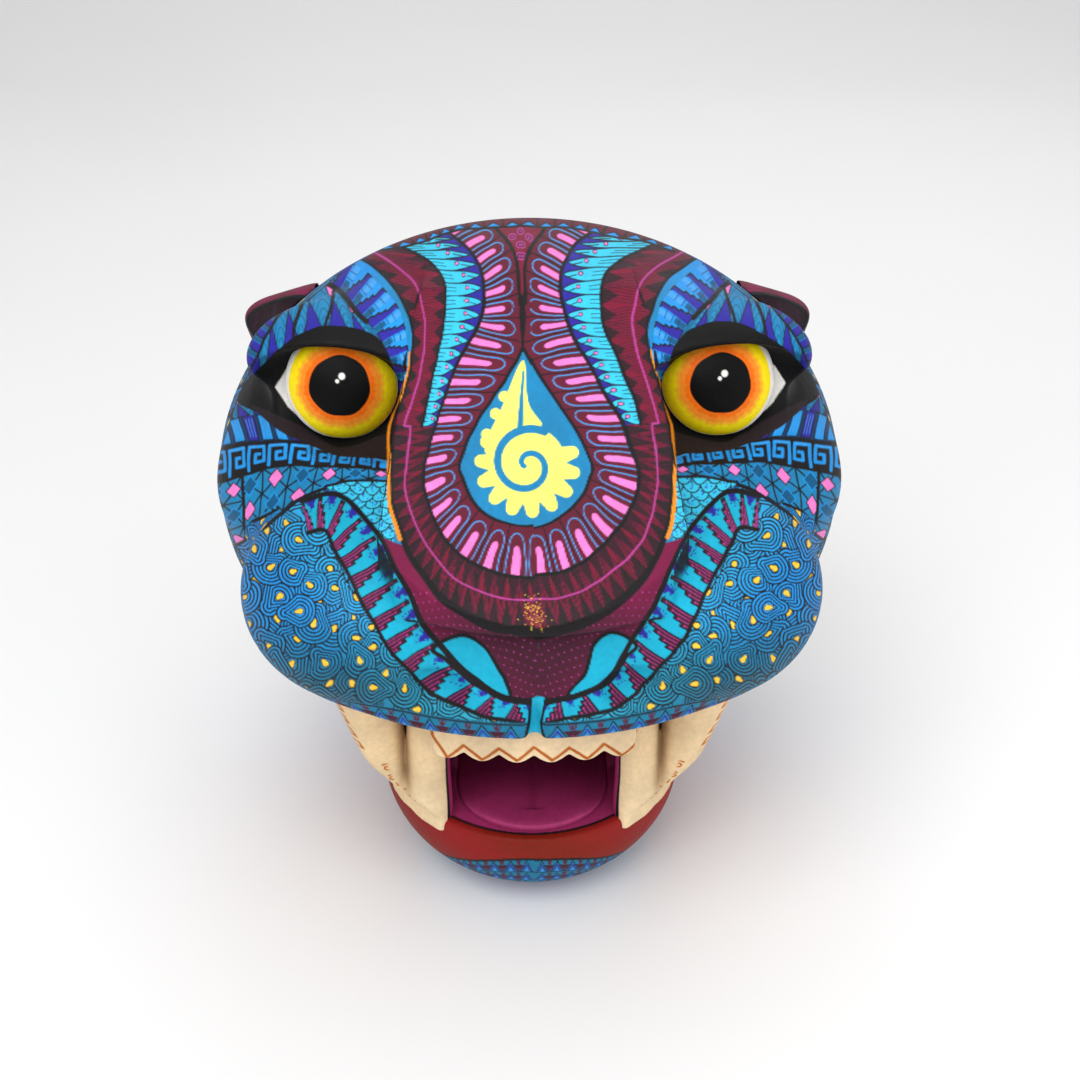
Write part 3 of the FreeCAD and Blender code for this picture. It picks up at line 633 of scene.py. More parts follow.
def draw_diamonds(sheet, strip, count, rows):
    """Crossed cells with pink diamonds and pale rings."""
    sheet.fill(strip.outline(), "lagoon")
    for i in range(count):
        for j in range(rows):
            low, high = j / rows, (j + 1) / rows
            middle = (low + high) / 2
            for ends in (((0, low), (1, high)), ((0, high), (1, low)), ((0, low), (0, high))):
                sheet.stroke(strip.cell(i, count, ends), 0.6, "night")
            reach = 0.42 / rows
            diamond = [(0.5, middle - reach), (0.78, middle), (0.5, middle + reach), (0.22, middle)]
            look = ("ocean", 0.5, "azure") if (i + j) % 2 else ("pink", 0.35, "night")
            sheet.panel(strip.cell(i, count, diamond), *look)


def draw_stairs(sheet, strip, count):
    """Blue and indigo blocks with stepped borders, in turn."""
    sheet.fill(strip.outline(), "azure")
    steps = [(0.74, 1.0), (0.74, 0.66), (0.62, 0.66), (0.62, 0.44), (0.50, 0.44), (0.50, 0.22),
             (0.38, 0.22), (0.38, 0.0)]
    for i in range(count):
        block = [(1.0, 1.0)] + steps + [(1.0, 0.0)]
        sheet.fill(strip.cell(i, count, [(0.96, 0.0), (0.96, 1.0)] + steps), "indigo")
        pale = [(0.08, 1.0), (0.08, 0.5), (0.34, 0.5), (0.34, 1.0)]
        sheet.fill(strip.cell(i, count, pale), "sky")
        sheet.fill(strip.cell(i, count, [(0.0, 0.0), (0.0, 0.4), (0.30, 0.4), (0.30, 0.0)]), "ocean")
        sheet.stroke(strip.cell(i, count, block), 0.6, "night")
        for height in (0.25, 0.5, 0.75):
            sheet.stroke(strip.cell(i, count, [(0.0, height), (0.36, height)]), 0.35, "navy")


def draw_arches(sheet, strip, count):
    """Indigo triangles, each with a pink half-round, between nested blue arches."""
    sheet.fill(strip.outline(), "lagoon")
    for i in range(count):
        for reach in (0.12, 0.24, 0.36, 0.48):
            angles = np.linspace(0, math.pi, 12)
            arch = np.stack([0.5 + reach * np.cos(angles), 1.7 * reach * np.sin(angles)], 1)
            sheet.stroke(strip.cell(i, count, arch), 0.4, "ocean")
        sheet.panel(strip.cell(i, count, [(-0.34, 0.0), (0.0, 0.62), (0.34, 0.0)]), "indigo", 0.4)
        cap = [(-0.16, 0.96), (-0.13, 0.72), (0.0, 0.62), (0.13, 0.72), (0.16, 0.96)]
        sheet.panel(strip.cell(i, count, cap), "pink", 0.4)


def draw_slabs(sheet, strip, count):
    """Pale blue slabs with slanted hatching."""
    sheet.fill(strip.outline(), "navy")
    for i in range(count):
        slab = [(0.12, 0.08), (0.06, 0.92), (0.80, 0.92), (0.86, 0.08)]
        sheet.panel(strip.cell(i, count, slab), "azure" if i % 3 else "indigo", 0.4)
        for x in (0.3, 0.5, 0.7):
            sheet.stroke(strip.cell(i, count, [(x, 0.2), (x - 0.06, 0.8)]), 0.35, "sky")


def draw_scales(sheet, outline, radius):
    """Rows of round pale scales with blue specks."""
    chance = np.random.default_rng(SEED + 1)
    outline = np.asarray(outline, float)
    low, high = outline.min(0), outline.max(0)
    sheet.keep_inside(outline)
    rows = int((high[1] - low[1]) / radius) + 3
    for j in range(rows):
        for i in range(int((high[0] - low[0]) / radius / 2) + 3):
            centre = low + (radius * (2 * i + j % 2 - 1), radius * (j - 1))
            angles = np.linspace(0, 2 * math.pi, 16, endpoint=False)
            wobble = radius * (1.12 + 0.08 * np.sin(3 * angles + i + j))
            ring = centre + np.stack([wobble * np.cos(angles), wobble * np.sin(angles)], 1)
            sheet.panel(ring, "cyan", 0.45)
            specks = centre + (0, -0.1 * radius) + chance.uniform(-0.6, 0.6, (8, 2)) * radius
            sheet.dots(specks, 0.55, "indigo")
    sheet.keep_inside(None)


def swirl_places(low, high, spacing, chance):
    """Seeded places that keep a distance from each other."""
    places = []
    tries = chance.uniform(low, high, (2500, 2))
    for place in tries:
        if not places or np.hypot(*(np.array(places) - place).T).min() > spacing:
            places.append(place)
    return places


def draw_swirls(sheet, outline, colour, seed, spacing=8.0):
    """Overlapping drops drawn in nested black lines, each with a golden heart."""
    chance = np.random.default_rng(seed)
    outline = np.asarray(outline, float)
    sheet.keep_inside(outline)
    sheet.fill(outline, colour)
    low, high = outline.min(0), outline.max(0)
    for place in swirl_places(low - 4, high + 4, spacing, chance):
        angle = chance.uniform(0, 2 * math.pi)
        heading = np.array([math.cos(angle), math.sin(angle)])
        tail = place + heading * chance.uniform(3.5, 8)
        reach = chance.uniform(6.4, 8.8)
        area, u, v = sheet.window(np.minimum(place, tail) - reach, np.maximum(place, tail) + reach)
        if not len(u) or not len(v):
            continue
        u, v = u[None, :], v[:, None]
        along = (u - place[0]) * heading[0] + (v - place[1]) * heading[1]
        t = np.clip(along / np.linalg.norm(tail - place), 0, 1)
        gap = np.hypot(u - place[0] - t * (tail[0] - place[0]), v - place[1] - t * (tail[1] - place[1]))
        gap = gap + t * reach * 0.55
        sheet.lay(area, np.clip((reach - gap) * sheet.fineness, 0, 1), colour(u, v))
        for ring in np.arange(reach, 1.4, -1.55):
            cover = np.clip(0.5 + (0.30 - np.abs(gap - ring)) * sheet.fineness, 0, 1)
            sheet.lay(area, cover, paint("night"))
        heart = [place - heading * 0.5, place + heading * 1.1]
        sheet.stroke(heart, [3.0, 2.0], "night")
        sheet.stroke(heart, [2.5, 1.5], "gold")
    sheet.keep_inside(None)


# ---------------------------------------------------------------- the painted design of the head

NOSE_MIDDLE = 30.0
FEATHER_FOOT = 48.0


def quarter_arc(half, middle, foot):
    """A quarter of an ellipse, from the side of the nose down to the middle line of the face."""
    angles = np.radians(np.arange(0, 91, 15))
    return [(half * math.cos(a), middle - (middle - foot) * math.sin(a)) for a in angles]


def alongside(line, widths):
    """The points of a line moved square to it: to its left, or to its right when negative."""
    line = np.asarray(line, float)
    heading = np.gradient(line, axis=0)
    heading /= np.linalg.norm(heading, axis=1)[:, None]
    square = np.stack([-heading[:, 1], heading[:, 0]], 1)
    return [tuple(place) for place in line + square * np.asarray(widths, float)[:, None]]


def feather_width(v):
    """The feathers grow longer up the forehead and flare at the crown."""
    return 6 + (v - FEATHER_FOOT) / 5 + 0.04 * max(v - 115, 0) ** 2


def stripe_width(v):
    return 12 + 0.45 * max(v - 84, 0)


# Half of the face in millimetres: out from the middle line, and up.
MEDALLION = [(0.5, 84), (9, 69), (21, 51)] + quarter_arc(29, 34, 6)
CROWN_POINT = [(20, 148), (10, 136), (2, 124), (1, 104)]
PETAL_HEART = CROWN_POINT + MEDALLION
PETAL_SIDE = [(40, 140), (24, 129), (17, 116), (18, 101), (22, 90), (32, 71), (42, 50)]
NOSE_ARC = quarter_arc(47, NOSE_MIDDLE, -16)
PETAL_EDGE = PETAL_SIDE + NOSE_ARC
FEATHER_EDGE = [(u + feather_width(v), v) for u, v in PETAL_SIDE]
STRIPE_EDGE = [(u + stripe_width(v), v) for u, v in FEATHER_EDGE]
BAND_HEART = PETAL_SIDE[-1:] + NOSE_ARC
BAND_EDGE = STRIPE_EDGE[-1:] + quarter_arc(62, 24, -42)
FRET_INNER = [(100, 18), (85, 20), (72, 8), (60, -13), (46, -40), (26, -64), (0, -72)]
FRET_OUTER = alongside(FRET_INNER[:-1], (14, 16, 18, 19, 18, 13)) + [(0, -82)]
EYE_TOP = [(128, 64), (108, 86), (86, 95), (66, 88)]
EYE_RIM = EYE_TOP + [(58, 64), (59, 40), (84, 39), (108, 52)]
BROW_ARCH = [(128, 92), (108, 108), (90, 114), (72, 97)]
BROW_FALL = BROW_ARCH[1:] + [(60, 74), (60, 42)]
MEANDER_TOP = [(142, 40), (106, 44), (60, 36)]
MEANDER_LOW = alongside(MEANDER_TOP, (14, 11, 4))
PAD_TOP = [(140, -10), (120, 5), (102, 18), (90, 23)]
SCALE_TOP = [(60, 27), (76, 27), (90, 24)]
NOSTRIL = [(45, -47), (34, -41), (24, -46), (19, -57), (13, -68), (28, -64), (40, -52)]


def pad_colour(u, v):
    """Azure over the pads, paler towards the nose and towards the top, and teal below: partly a painted
    blend, partly painted light on top and painted shade below.
    """
    low = mix("azure", "teal", (-v - 30) / 30 + 0 * u)
    return low + (paint("cyan") - low) * np.clip((100 - u) / 60 + (v + 30) / 90, 0, 0.75)[..., None]


def nose_colour(u, v):
    """Crimson at the sides of the nose, plum in the middle."""
    return mix("crimson", "plum", 1.1 - u / 45 + 0.25 * np.sin(v / 9))


def brow_colour(u, v):
    return mix("lagoon", "azure", 0.5 + 0.5 * np.sin(u / 17 + v / 13))


def cheek_colour(u, v):
    """Teal blue on the cheeks, dusky violet at their far edge."""
    return mix("lagoon", "dusk", (u - 124 - v / 12) / 16)


def nose_dots():
    """Rows of dots that follow the under edge of the nose."""
    places = []
    for row in range(12):
        v = -30.0 - 3.6 * row
        for column in range(22):
            u = 2.8 * column + 1.4 * (row % 2)
            places.append((u, v - 0.006 * (u - 20) ** 2 + u * 0.25))
    return places


def paint_face():
    """One half of the face as seen from above its front; the other half mirrors it."""
    sheet = Sheet((-2, -104), (156, 156), FINENESS, "lagoon")
    paint_cheeks(sheet)
    paint_brow(sheet)
    paint_pads(sheet)
    paint_nose_front(sheet)
    paint_nose_band(sheet)
    return sheet


def paint_cheeks(sheet):
    sheet.fill([(50, 60), (156, 60), (156, -60), (50, -60)], cheek_colour)
    slab_top = [(142, 50), (116, 57), (94, 46)]
    draw_slabs(sheet, Strip([(142, 40), (112, 44), (86, 41)], slab_top), 9)
    draw_arches(sheet, Strip([(144, 50), (124, 55), (112, 56)], [(144, 66), (128, 64), (118, 61)]), 5)
    draw_diamonds(sheet, Strip(MEANDER_LOW, [(140, 2), (110, 14), (60, 26)]), 7, 2)
    lower = Strip([(126, 30), (126, 8), (120, -14)], [(142, 28), (143, 2), (136, -24)])
    draw_diamonds(sheet, lower, 4, 2)
    sheet.stroke(lower.near, 1.2, "night")
    draw_meander(sheet, Strip(MEANDER_LOW, MEANDER_TOP), 9)
    for line, width in ((MEANDER_LOW, 1.1), (MEANDER_TOP, 1.2)):
        sheet.stroke(curve(line), width, "night")
    scale_top = curve(SCALE_TOP)
    scales = np.concatenate([scale_top, [(80, 16), (70, 4), (62, -6)]])
    draw_scales(sheet, scales, 3.4)
    sheet.stroke(scale_top, 1.1, "night")


def paint_brow(sheet):
    sheet.fill([(50, 156), (156, 156), (156, 68), (120, 66), (54, 40), (50, 90)], brow_colour)
    draw_stairs(sheet, Strip(BROW_FALL, alongside(BROW_FALL, (-15, -12, -15, -7, -2))), 14)
    draw_arches(sheet, Strip(EYE_TOP, BROW_ARCH), 7)
    edge = Strip([(128, 64), (116, 90), (100, 110)], [(144, 70), (129, 99), (108, 122)])
    draw_stairs(sheet, edge, 9)
    creases = ((BROW_ARCH, 2.2), ([(104, 86), (102, 98), (94, 115)], 1.5), ([(90, 92), (86, 110)], 1.3))
    for line, width in creases:
        sheet.stroke(curve(line), width, "night")
    sheet.stroke(edge.near, 1.0, "night")
    sheet.fill(curve(EYE_RIM, closed=True), "pitch")
    shadow = [(122, 60), (104, 53), (84, 42), (60, 47), (59, 38), (84, 38), (108, 48)]
    sheet.fill(curve(shadow, closed=True), "soot")
    sheet.fill([(101, 80), (107, 75), (112, 68), (107, 60), (98, 52), (96, 66)], "white")


def paint_pads(sheet):
    top, inner, outer = curve(PAD_TOP), curve(FRET_INNER), curve(FRET_OUTER)
    pads = np.concatenate([top, outer, [(0, -104), (156, -104), (156, -10)]])
    draw_swirls(sheet, pads, pad_colour, SEED + 2)
    draw_frets(sheet, Strip(FRET_INNER, FRET_OUTER, crowd=1.25), 14)
    sheet.stroke(top, 1.5, "night")
    sheet.stroke(outer, 1.7, "night")
    sheet.stroke(inner[inner[:, 1] > -38], 2.2, "night")


def paint_nose_front(sheet):
    inner = curve(FRET_INNER)
    front = np.concatenate([[(0, -20), (58, -2)], inner[inner[:, 1] < 2]])
    sheet.fill(front, nose_colour)
    sheet.keep_inside(front)
    sheet.dots(nose_dots(), 0.65, "magenta")
    sheet.keep_inside(None)
    sheet.panel(curve(NOSTRIL, closed=True), "turquoise", 1.6)
    below_cheek = inner[inner[:, 1] < 10]
    sheet.stroke(below_cheek, np.linspace(1.5, 3.2, len(below_cheek)), "night")
    sheet.fill([(-2, -68), (3.2, -69), (3.0, -80), (5.5, -93), (5.5, -104), (-2, -104)], "turquoise")
    sheet.stroke([(3.4, -69), (3.2, -80), (5.8, -94)], 1.2, "night")


def paint_nose_band(sheet):
    rim, band_rim = curve(STRIPE_EDGE), curve(BAND_EDGE)
    side = np.concatenate([rim, band_rim])
    sheet.fill(np.concatenate([curve(PETAL_HEART), side[::-1]]), "soot")
    upper, lower = Strip(FEATHER_EDGE, STRIPE_EDGE), Strip(BAND_HEART, BAND_EDGE)
    draw_hatching(sheet, upper, 17, 0.30)
    draw_hatching(sheet, lower, 20, 0.60)
    along = np.linspace(0, 1, 100)
    line = np.concatenate([upper.at(along, 0.6), lower.at(along, 0.6 - 0.2 * along)])
    sheet.stroke(line, 0.8, "maroon")
    draw_dashes(sheet, line, 1.6, 0.9, "magenta")
    draw_feathers(sheet, Strip(PETAL_SIDE, FEATHER_EDGE), 19)
    sheet.stroke(curve(FEATHER_EDGE), 1.2, "night")
    draw_petals(sheet, Strip(PETAL_HEART, PETAL_EDGE, crowd=1.12), 21)
    sheet.stroke(curve(PETAL_EDGE), 1.5, "night")
    sheet.fill([(-2, 80), (0.9, 80), (0.9, 126), (-2, 126)], "night")
    draw_crown(sheet)
    sheet.fill(np.concatenate([curve(MEDALLION), [(-2, 6), (-2, 84)]]), "lagoon")
    sheet.stroke(curve(MEDALLION), 1.6, "night")
    # A black line along the nose band's lower edge, widening towards the nose tip: partly the real black
    # rim, partly painted shadow of the overhang.
    sheet.stroke(band_rim + (0, 1), np.linspace(1.2, 5.0, len(band_rim)), "night")
    sheet.stroke(rim, 1.2, "night")
    orange = side[(side[:, 1] < 84) & (side[:, 1] > 0)]
    sheet.stroke(orange + (1.0, 0), np.linspace(0.7, 2.0, len(orange)), "amber")
    sheet.dots(gold_specks(), 0.5, "gold")


def draw_curls(sheet, places):
    """Small pink rings round a dot."""
    for size, colour in ((3.4, "magenta"), (2.2, "plum"), (1.1, "magenta")):
        sheet.dots(places, size, colour)


def draw_crown(sheet):
    """The dark red point between the petal bands, and the row of cells along the crown."""
    heart = curve(CROWN_POINT)
    sheet.fill(np.concatenate([heart, [(-2, 118), (-2, 156), (19, 156)]]), "wine")
    draw_curls(sheet, [(0, 124), (0, 129), (3.5, 132.5), (0, 135)])
    sheet.stroke(heart, 1.5, "night")
    cells = Strip([(0, 137.5), (24, 136), (45, 132), (64, 127)],
                  [(0, 151), (27, 150), (54, 145), (76, 136)])
    sheet.fill(cells.outline(), "maroon")
    count = 9
    for i in range(count):
        draw_curls(sheet, cells.cell(i, count, [(0.34, 0.40), (0.68, 0.50), (0.30, 0.85), (0.7, 0.9)]))
        slip = cells.cell(i, count, [(0.0, 0.0), (0.5, 0.16), (1.0, 0.0)])
        sheet.panel(slip, "azure", 0.4, closed=False)
        sheet.stroke(cells.cell(i, count, [(0, 0), (0, 1)]), 0.7, "night")
    sheet.stroke(cells.near, 0.9, "night")


def gold_specks():
    chance = np.random.default_rng(SEED + 5)
    return chance.normal(0, 1, (90, 2)) * (2.6, 4.0) + (0, -33)


def paint_medallion():
    """A lobed disc cut by a spiral, with a leaf-shaped stem, on blue; both sides of the middle."""
    sheet = Sheet((-38, 0), (38, 110), FINENESS, "lagoon")
    middle = np.array([1.0, 33.0])
    leaf = [(-17, 38), (-9, 60), (0, 79), (2, 60), (10, 44)]
    sheet.fill(curve(leaf, closed=True), "lemon")
    sheet.dots([middle], 34, "lemon")
    for degrees in range(150, 400, 25):
        heading = np.array([math.cos(math.radians(degrees)), math.sin(math.radians(degrees))])
        sheet.stroke([middle + 14 * heading, middle + 20.5 * heading], [8.5, 5.6], "lemon")
    sheet.dots([(-16.5, 46.5), (-12.5, 55.5), (-8.5, 63)], 5.0, "lemon")
    turns = np.radians(np.linspace(62, 560, 90))
    radii = np.linspace(16.5, 1.5, 90)[:, None]
    groove = middle + radii * np.stack([np.cos(turns), np.sin(turns)], 1)
    sheet.stroke(np.concatenate([[middle + (9.5, 24)], groove]), np.linspace(3.6, 2.2, 91), "lagoon")
    vein = curve([(-2, 48), (-1, 62), (0, 74)])
    sheet.stroke(vein, np.linspace(2.6, 0.8, len(vein)), "lagoon")
    return sheet


# Half of the flank in millimetres: forward to back, and up.
SIDE_CHEEK = [(-130, 20), (-98, 4), (-84, -14), (-78, -40)]
SIDE_GAP = [(-110, 50), (-72, 30), (-54, 0), (-48, -40)]
SIDE_WAVE = [(-100, 62), (-66, 44), (-44, 14), (-36, -24), (-36, -60)]
SIDE_TURN = alongside(SIDE_WAVE, (13, 13, 12, 12, 12))
SIDE_ARCH = [(-84, 80), (-50, 58), (-26, 26), (-17, -18), (-16, -70)]


def paint_side():
    """The flanks, unrolled sideways: u is the depth and v the height."""
    sheet = Sheet((-246, -150), (6, 134), FINENESS, "lagoon")
    draw_swirls(sheet, [(-246, -150), (-246, 134), (6, 134), (6, -150)], side_colour, SEED + 4)
    draw_diamonds(sheet, Strip(SIDE_CHEEK, SIDE_GAP), 7, 2)
    draw_meander(sheet, Strip(SIDE_WAVE, SIDE_TURN), 11)
    draw_arches(sheet, Strip(SIDE_ARCH, alongside(SIDE_ARCH, (20, 19, 18, 16, 16))), 15)
    below = Strip([(-78, -40), (-70, -72), (-52, -104)], [(-36, -40), (-35, -68), (-30, -92)])
    draw_diamonds(sheet, below, 4, 3)
    draw_stairs(sheet, Strip([(-60, 112), (-24, 92), (0, 60)], [(-50, 128), (-12, 106), (6, 80)]), 9)
    for line in (SIDE_CHEEK, SIDE_GAP, SIDE_WAVE, SIDE_TURN, SIDE_ARCH):
        sheet.stroke(curve(line), 1.3, "night")
    pads = curve([(-246, 60), (-170, 60), (-136, 30), (-106, 0), (-94, -30)])
    draw_swirls(sheet, np.concatenate([[(-246, -30)], pads]), side_pad_colour, SEED + 3)
    sheet.stroke(pads[6:], 1.6, "night")
    return sheet


def side_colour(u, v):
    """Teal blue that turns to dusky violet low on the flank and towards its back."""
    return mix("lagoon", "dusk", 0.25 - v / 90 + u / 300 + 0.15 * np.sin(u / 11))


def side_pad_colour(u, v):
    # Azure turning to teal lower down: partly a painted blend, partly painted shade below.
    return mix("azure", "teal", (14 - v) / 30 + 0 * u)


def paint_lip():
    """The rim of the upper lip, unrolled: u is the way round from the middle, v the height."""
    sheet = Sheet((-2, -2), (260, 12), FINENESS * 1.5, "teal")
    draw_lip(sheet, Strip([(3, 0), (260, 0)], [(3, LIP_BAND), (260, LIP_BAND)]), 24)
    sheet.stroke([(0, LIP_BAND), (262, LIP_BAND)], 1.0, "night")
    return sheet


# ---------------------------------------------------------------- colours on the pieces

def seen_from_front(co):
    """Where each point appears on the face sheet."""
    _, y, z = (co - VIEW_TARGET).T
    depth = VIEW_DISTANCE + FACE_VIEW[1] * -y - FACE_VIEW[2] * z
    up = FACE_VIEW[2] * y - FACE_VIEW[1] * z
    return VIEW_DISTANCE * co[:, 0] / depth, VIEW_DISTANCE * up / depth


def wobble(a, b, phase):
    """The small wander of a hand-painted line, in millimetres."""
    return (0.45 * np.sin(a / 13 + b / 9 + phase) + 0.28 * np.sin(a / 5 - b / 6.5 + 2 * phase)
            + 0.12 * np.sin(a / 2.3 + b / 2.9))


def gradient(centre, radii, co):
    """Outward normals of an ellipsoid's family at some points."""
    out = (co - centre) / np.square(radii)
    return out / np.maximum(np.linalg.norm(out, axis=1, keepdims=True), 1e-9)


def facing_front(co):
    """How squarely the carving's large masses face the eye of someone in front and above."""
    x, y, z = np.abs(co[:, 0]), co[:, 1], co[:, 2]
    half = np.stack([x, y, z], 1)
    muzzle = ((0, -148, 5), (108, 80, 50))
    total, weight = 0, 0
    for centre, radii in (SKULL, PAD, muzzle):
        gap = np.maximum(np.abs(ellipsoid(x, y, z, centre, radii)), 0.5)
        share = gap[:, None] ** -2
        total = total + share * gradient(np.array(centre), np.array(radii), half)
        weight = weight + share
    outward = total / weight
    towards = EYE_POINT - half
    towards /= np.linalg.norm(towards, axis=1, keepdims=True)
    return np.sum(outward * towards, 1)


def ramp(value, low, high):
    t = np.clip((value - low) / (high - low), 0, 1)
    return t * t * (3 - 2 * t)


def over(colours, other, share):
    """Lay another colour, or a named paint, over these ones."""
    if isinstance(other, str):
        other = paint(other)
    share = np.asarray(share)[:, None]
    return colours * (1 - share) + other * share


def lip_way(co):
    """The way round the upper lip from its middle, in millimetres."""
    angle = np.arctan2(np.abs(co[:, 0]) / 106, -(co[:, 1] + 148) / 80)
    return angle * 100


def head_colours(co, normal):
    """Paint for the head carving."""
    x, y, z = co.T
    u, v = seen_from_front(co)
    phase = np.where(x > 0, 0.0, 2.2)
    lean = np.interp(v, (-80, -60, -40, -16, 6, 90), (0.0, -3.5, -1.0, 2.5, 3.0, 3.4))
    u = u + lean * (1 - ramp(np.abs(u), 30, 50))
    half_u = np.abs(u) + wobble(v, u, phase)
    lifted_v = v + wobble(u, v, phase + 1)
    colours = FACE.look_up(np.abs(half_u), lifted_v)
    volute = MEDAL.look_up(u, v)
    inside = MEDAL_MASK.look_up(np.abs(half_u), lifted_v)[:, 0]
    colours = over(colours, volute, inside)
    facing = facing_front(co)
    flank = SIDE.look_up(y + wobble(y, z, phase), z + wobble(z, y, phase))
    turn = 0.175 - 0.14 * ramp(z - 0.5 * np.abs(x), 50, 80)
    colours = over(colours, flank, 1 - ramp(facing, turn - 0.003, turn + 0.003))
    seam = (1 - ramp(np.abs(facing - turn), 0.008, 0.012)) * ramp(y, -118, -112)
    colours = over(colours, "night", seam)
    beside = 1 - ramp(np.abs(np.abs(x) - band_half(y)), 1.2, 2.2)
    steep = 0.75 - 0.3 * ramp(z, 50, 70)
    wall = beside * ramp(np.abs(normal[:, 0]), steep, steep + 0.15) * ramp(z, 42, 50) * ramp(-y, 95, 105)
    colours = over(colours, "night", 0.9 * wall)
    # Painted shadow: the downward-facing underside of the nose band's overhang is painted black.
    under = ramp(-normal[:, 2], 0.2, 0.5) * ramp(z, 18, 24) * ramp(-y, 150, 160)
    colours = over(colours, "night", under * (1 - ramp(np.abs(x), 62, 66)))
    rim = ramp(LIP_Z + LIP_BAND + 1.0 - z, -0.5, 0.5) * (y < -100) * (normal[:, 2] > -0.92)
    notch = np.abs(x) < 3 + 0.25 * np.maximum(0, -12 - z)
    lips = LIP.look_up(lip_way(co) + wobble(u, v, phase), z - LIP_Z)
    colours = over(colours, lips, rim * ~notch)
    roof = (normal[:, 2] < -0.7) & (z < LIP_Z + 3)
    colours = over(colours, "throat", roof)
    mouth_back = (np.abs(y - MOUTH_BACK_Y - 0.5) < 4.5) & (z < LIP_Z - 1) & (normal[:, 1] < -0.5)
    colours = over(colours, "throat", mouth_back)
    bare = (y > -1.2) | (ellipsoid(x, y, z, *HOLLOW) < 1.5) & (y > -90)
    bare |= (np.abs(x) < 12.5) & (y > -6) & (z > 77) & (z < 109)
    return over(colours, "wood", bare), bare


def jaw_colours(co, normal):
    """Red lip, banded chin, dark mouth and the patterned nape."""
    x, y, z = co.T
    phase = np.where(x > 0, 0.0, 2.2)
    shift = wobble(x, z, phase)
    red = mix("lip", "ember", 0.35 + 0.3 * np.sin(x / 14 + z / 9) + 0.35 * np.exp(-(x / 34) ** 2))
    way = np.arctan2(np.abs(x) / 69, -(y + 110) / 82) * 76
    chin_line = JAW_BAND_Z - 0.0085 * np.minimum(x, 60) ** 2 + shift * 0.6
    chin = CHIN.look_up(way + shift, (z - chin_line) + 40)
    colours = over(red, chin, ramp(chin_line - z, -0.3, 0.3))
    colours = over(colours, "night", ramp(0.65 - np.abs(z - chin_line), -0.25, 0.25))
    back_line = -88 + (z + 40) * -0.28 + shift
    flank = SIDE.look_up(y + shift, z + shift)
    colours = over(colours, flank, ramp(y - back_line, -0.4, 0.4))
    colours = over(colours, "night", ramp(0.8 - np.abs(y - back_line), -0.3, 0.3))
    mouth = (z > jaw_rim(y) - 20) & (y < MOUTH_BACK_Y + 2)
    edge = drum(x, y, z, -110, 70, 82, -300, 100, 34)
    inner = mouth & (edge < -4.5)
    colours = over(colours, mouth_colour(y), inner)
    rim = mouth * (1 - ramp(np.abs(edge + 4.5), 0.5, 0.9))
    colours = over(colours, "night", rim)
    under = ramp(-normal[:, 2], 0.80, 0.9)
    below = mix("ocean", "dusk", 0.5 + 0.5 * np.sin(y / 17))
    colours = over(colours, below, under * (z < -120))
    bare = (y > -1.2) | ((normal[:, 2] > 0.8) & (z > JOINT_Z - 1.5) & (y > MOUTH_BACK_Y + 1))
    return over(colours, "wood", bare), bare


def mouth_colour(y):
    """The floor of the mouth and the tongue: dark at the back, brighter towards the front."""
    share = ramp(y, -186, -120)
    return mix("tongue", "throat", share)


def tongue_colours(co, normal):
    """The colour of the mouth, with a rosy front edge and a soft middle line."""
    x, y, _ = co.T
    colours = mouth_colour(y)
    rim = np.hypot(x / 34, np.minimum(y + 150, 0) / 35)
    colours = over(colours, "rosy", 0.6 * ramp(rim, 0.80, 1.0) * (1 - ramp(y, -178, -150)))
    middle = 0.3 * np.exp(-(x / 1.6) ** 2) * (y > -172)
    return over(colours, "throat", middle), np.zeros(len(co), bool)


def cream_colours(co, normal):
    """Cream wood with a random tone, and painted shade that makes it a little darker in its hollows and
    on faces turned towards the back.
    """
    _, y, z = co.T
    # The sine term is random tone; the normal term is painted shade on faces turned towards the back.
    shade = 0.35 + 0.3 * np.sin(z / 13 + y / 7) + 0.5 * ramp(-normal[:, 1], 0.2, -0.5)
    return mix("cream", "ivory", 1 - shade), np.zeros(len(co), bool)


def incisor_colours(co, normal):
    """Cream with a brown zigzag above the points of the teeth."""
    x, _, z = co.T
    colours, bare = cream_colours(co, normal)
    sheet = Sheet((-50, -52), (50, -10), FINENESS * 1.5, "cream")
    line = [(-43, -20), (-41, -34)]
    for i in range(6):
        middle = -36 + 14.4 * i
        line += [(middle, -44.5), (middle + 7.2, -37.5 - 0.8 * (i % 2))]
    line += [(43, -20)]
    sheet.stroke(line, 1.3, "umber")
    front = sheet.look_up(x + 0.4 * np.sin(z / 3), z)
    share = ramp(-normal[:, 1], 0.3, 0.5)
    mark = np.clip(np.abs(front - paint("cream")).sum(1) / 0.9, 0, 1)
    return over(colours, "umber", mark * share), bare


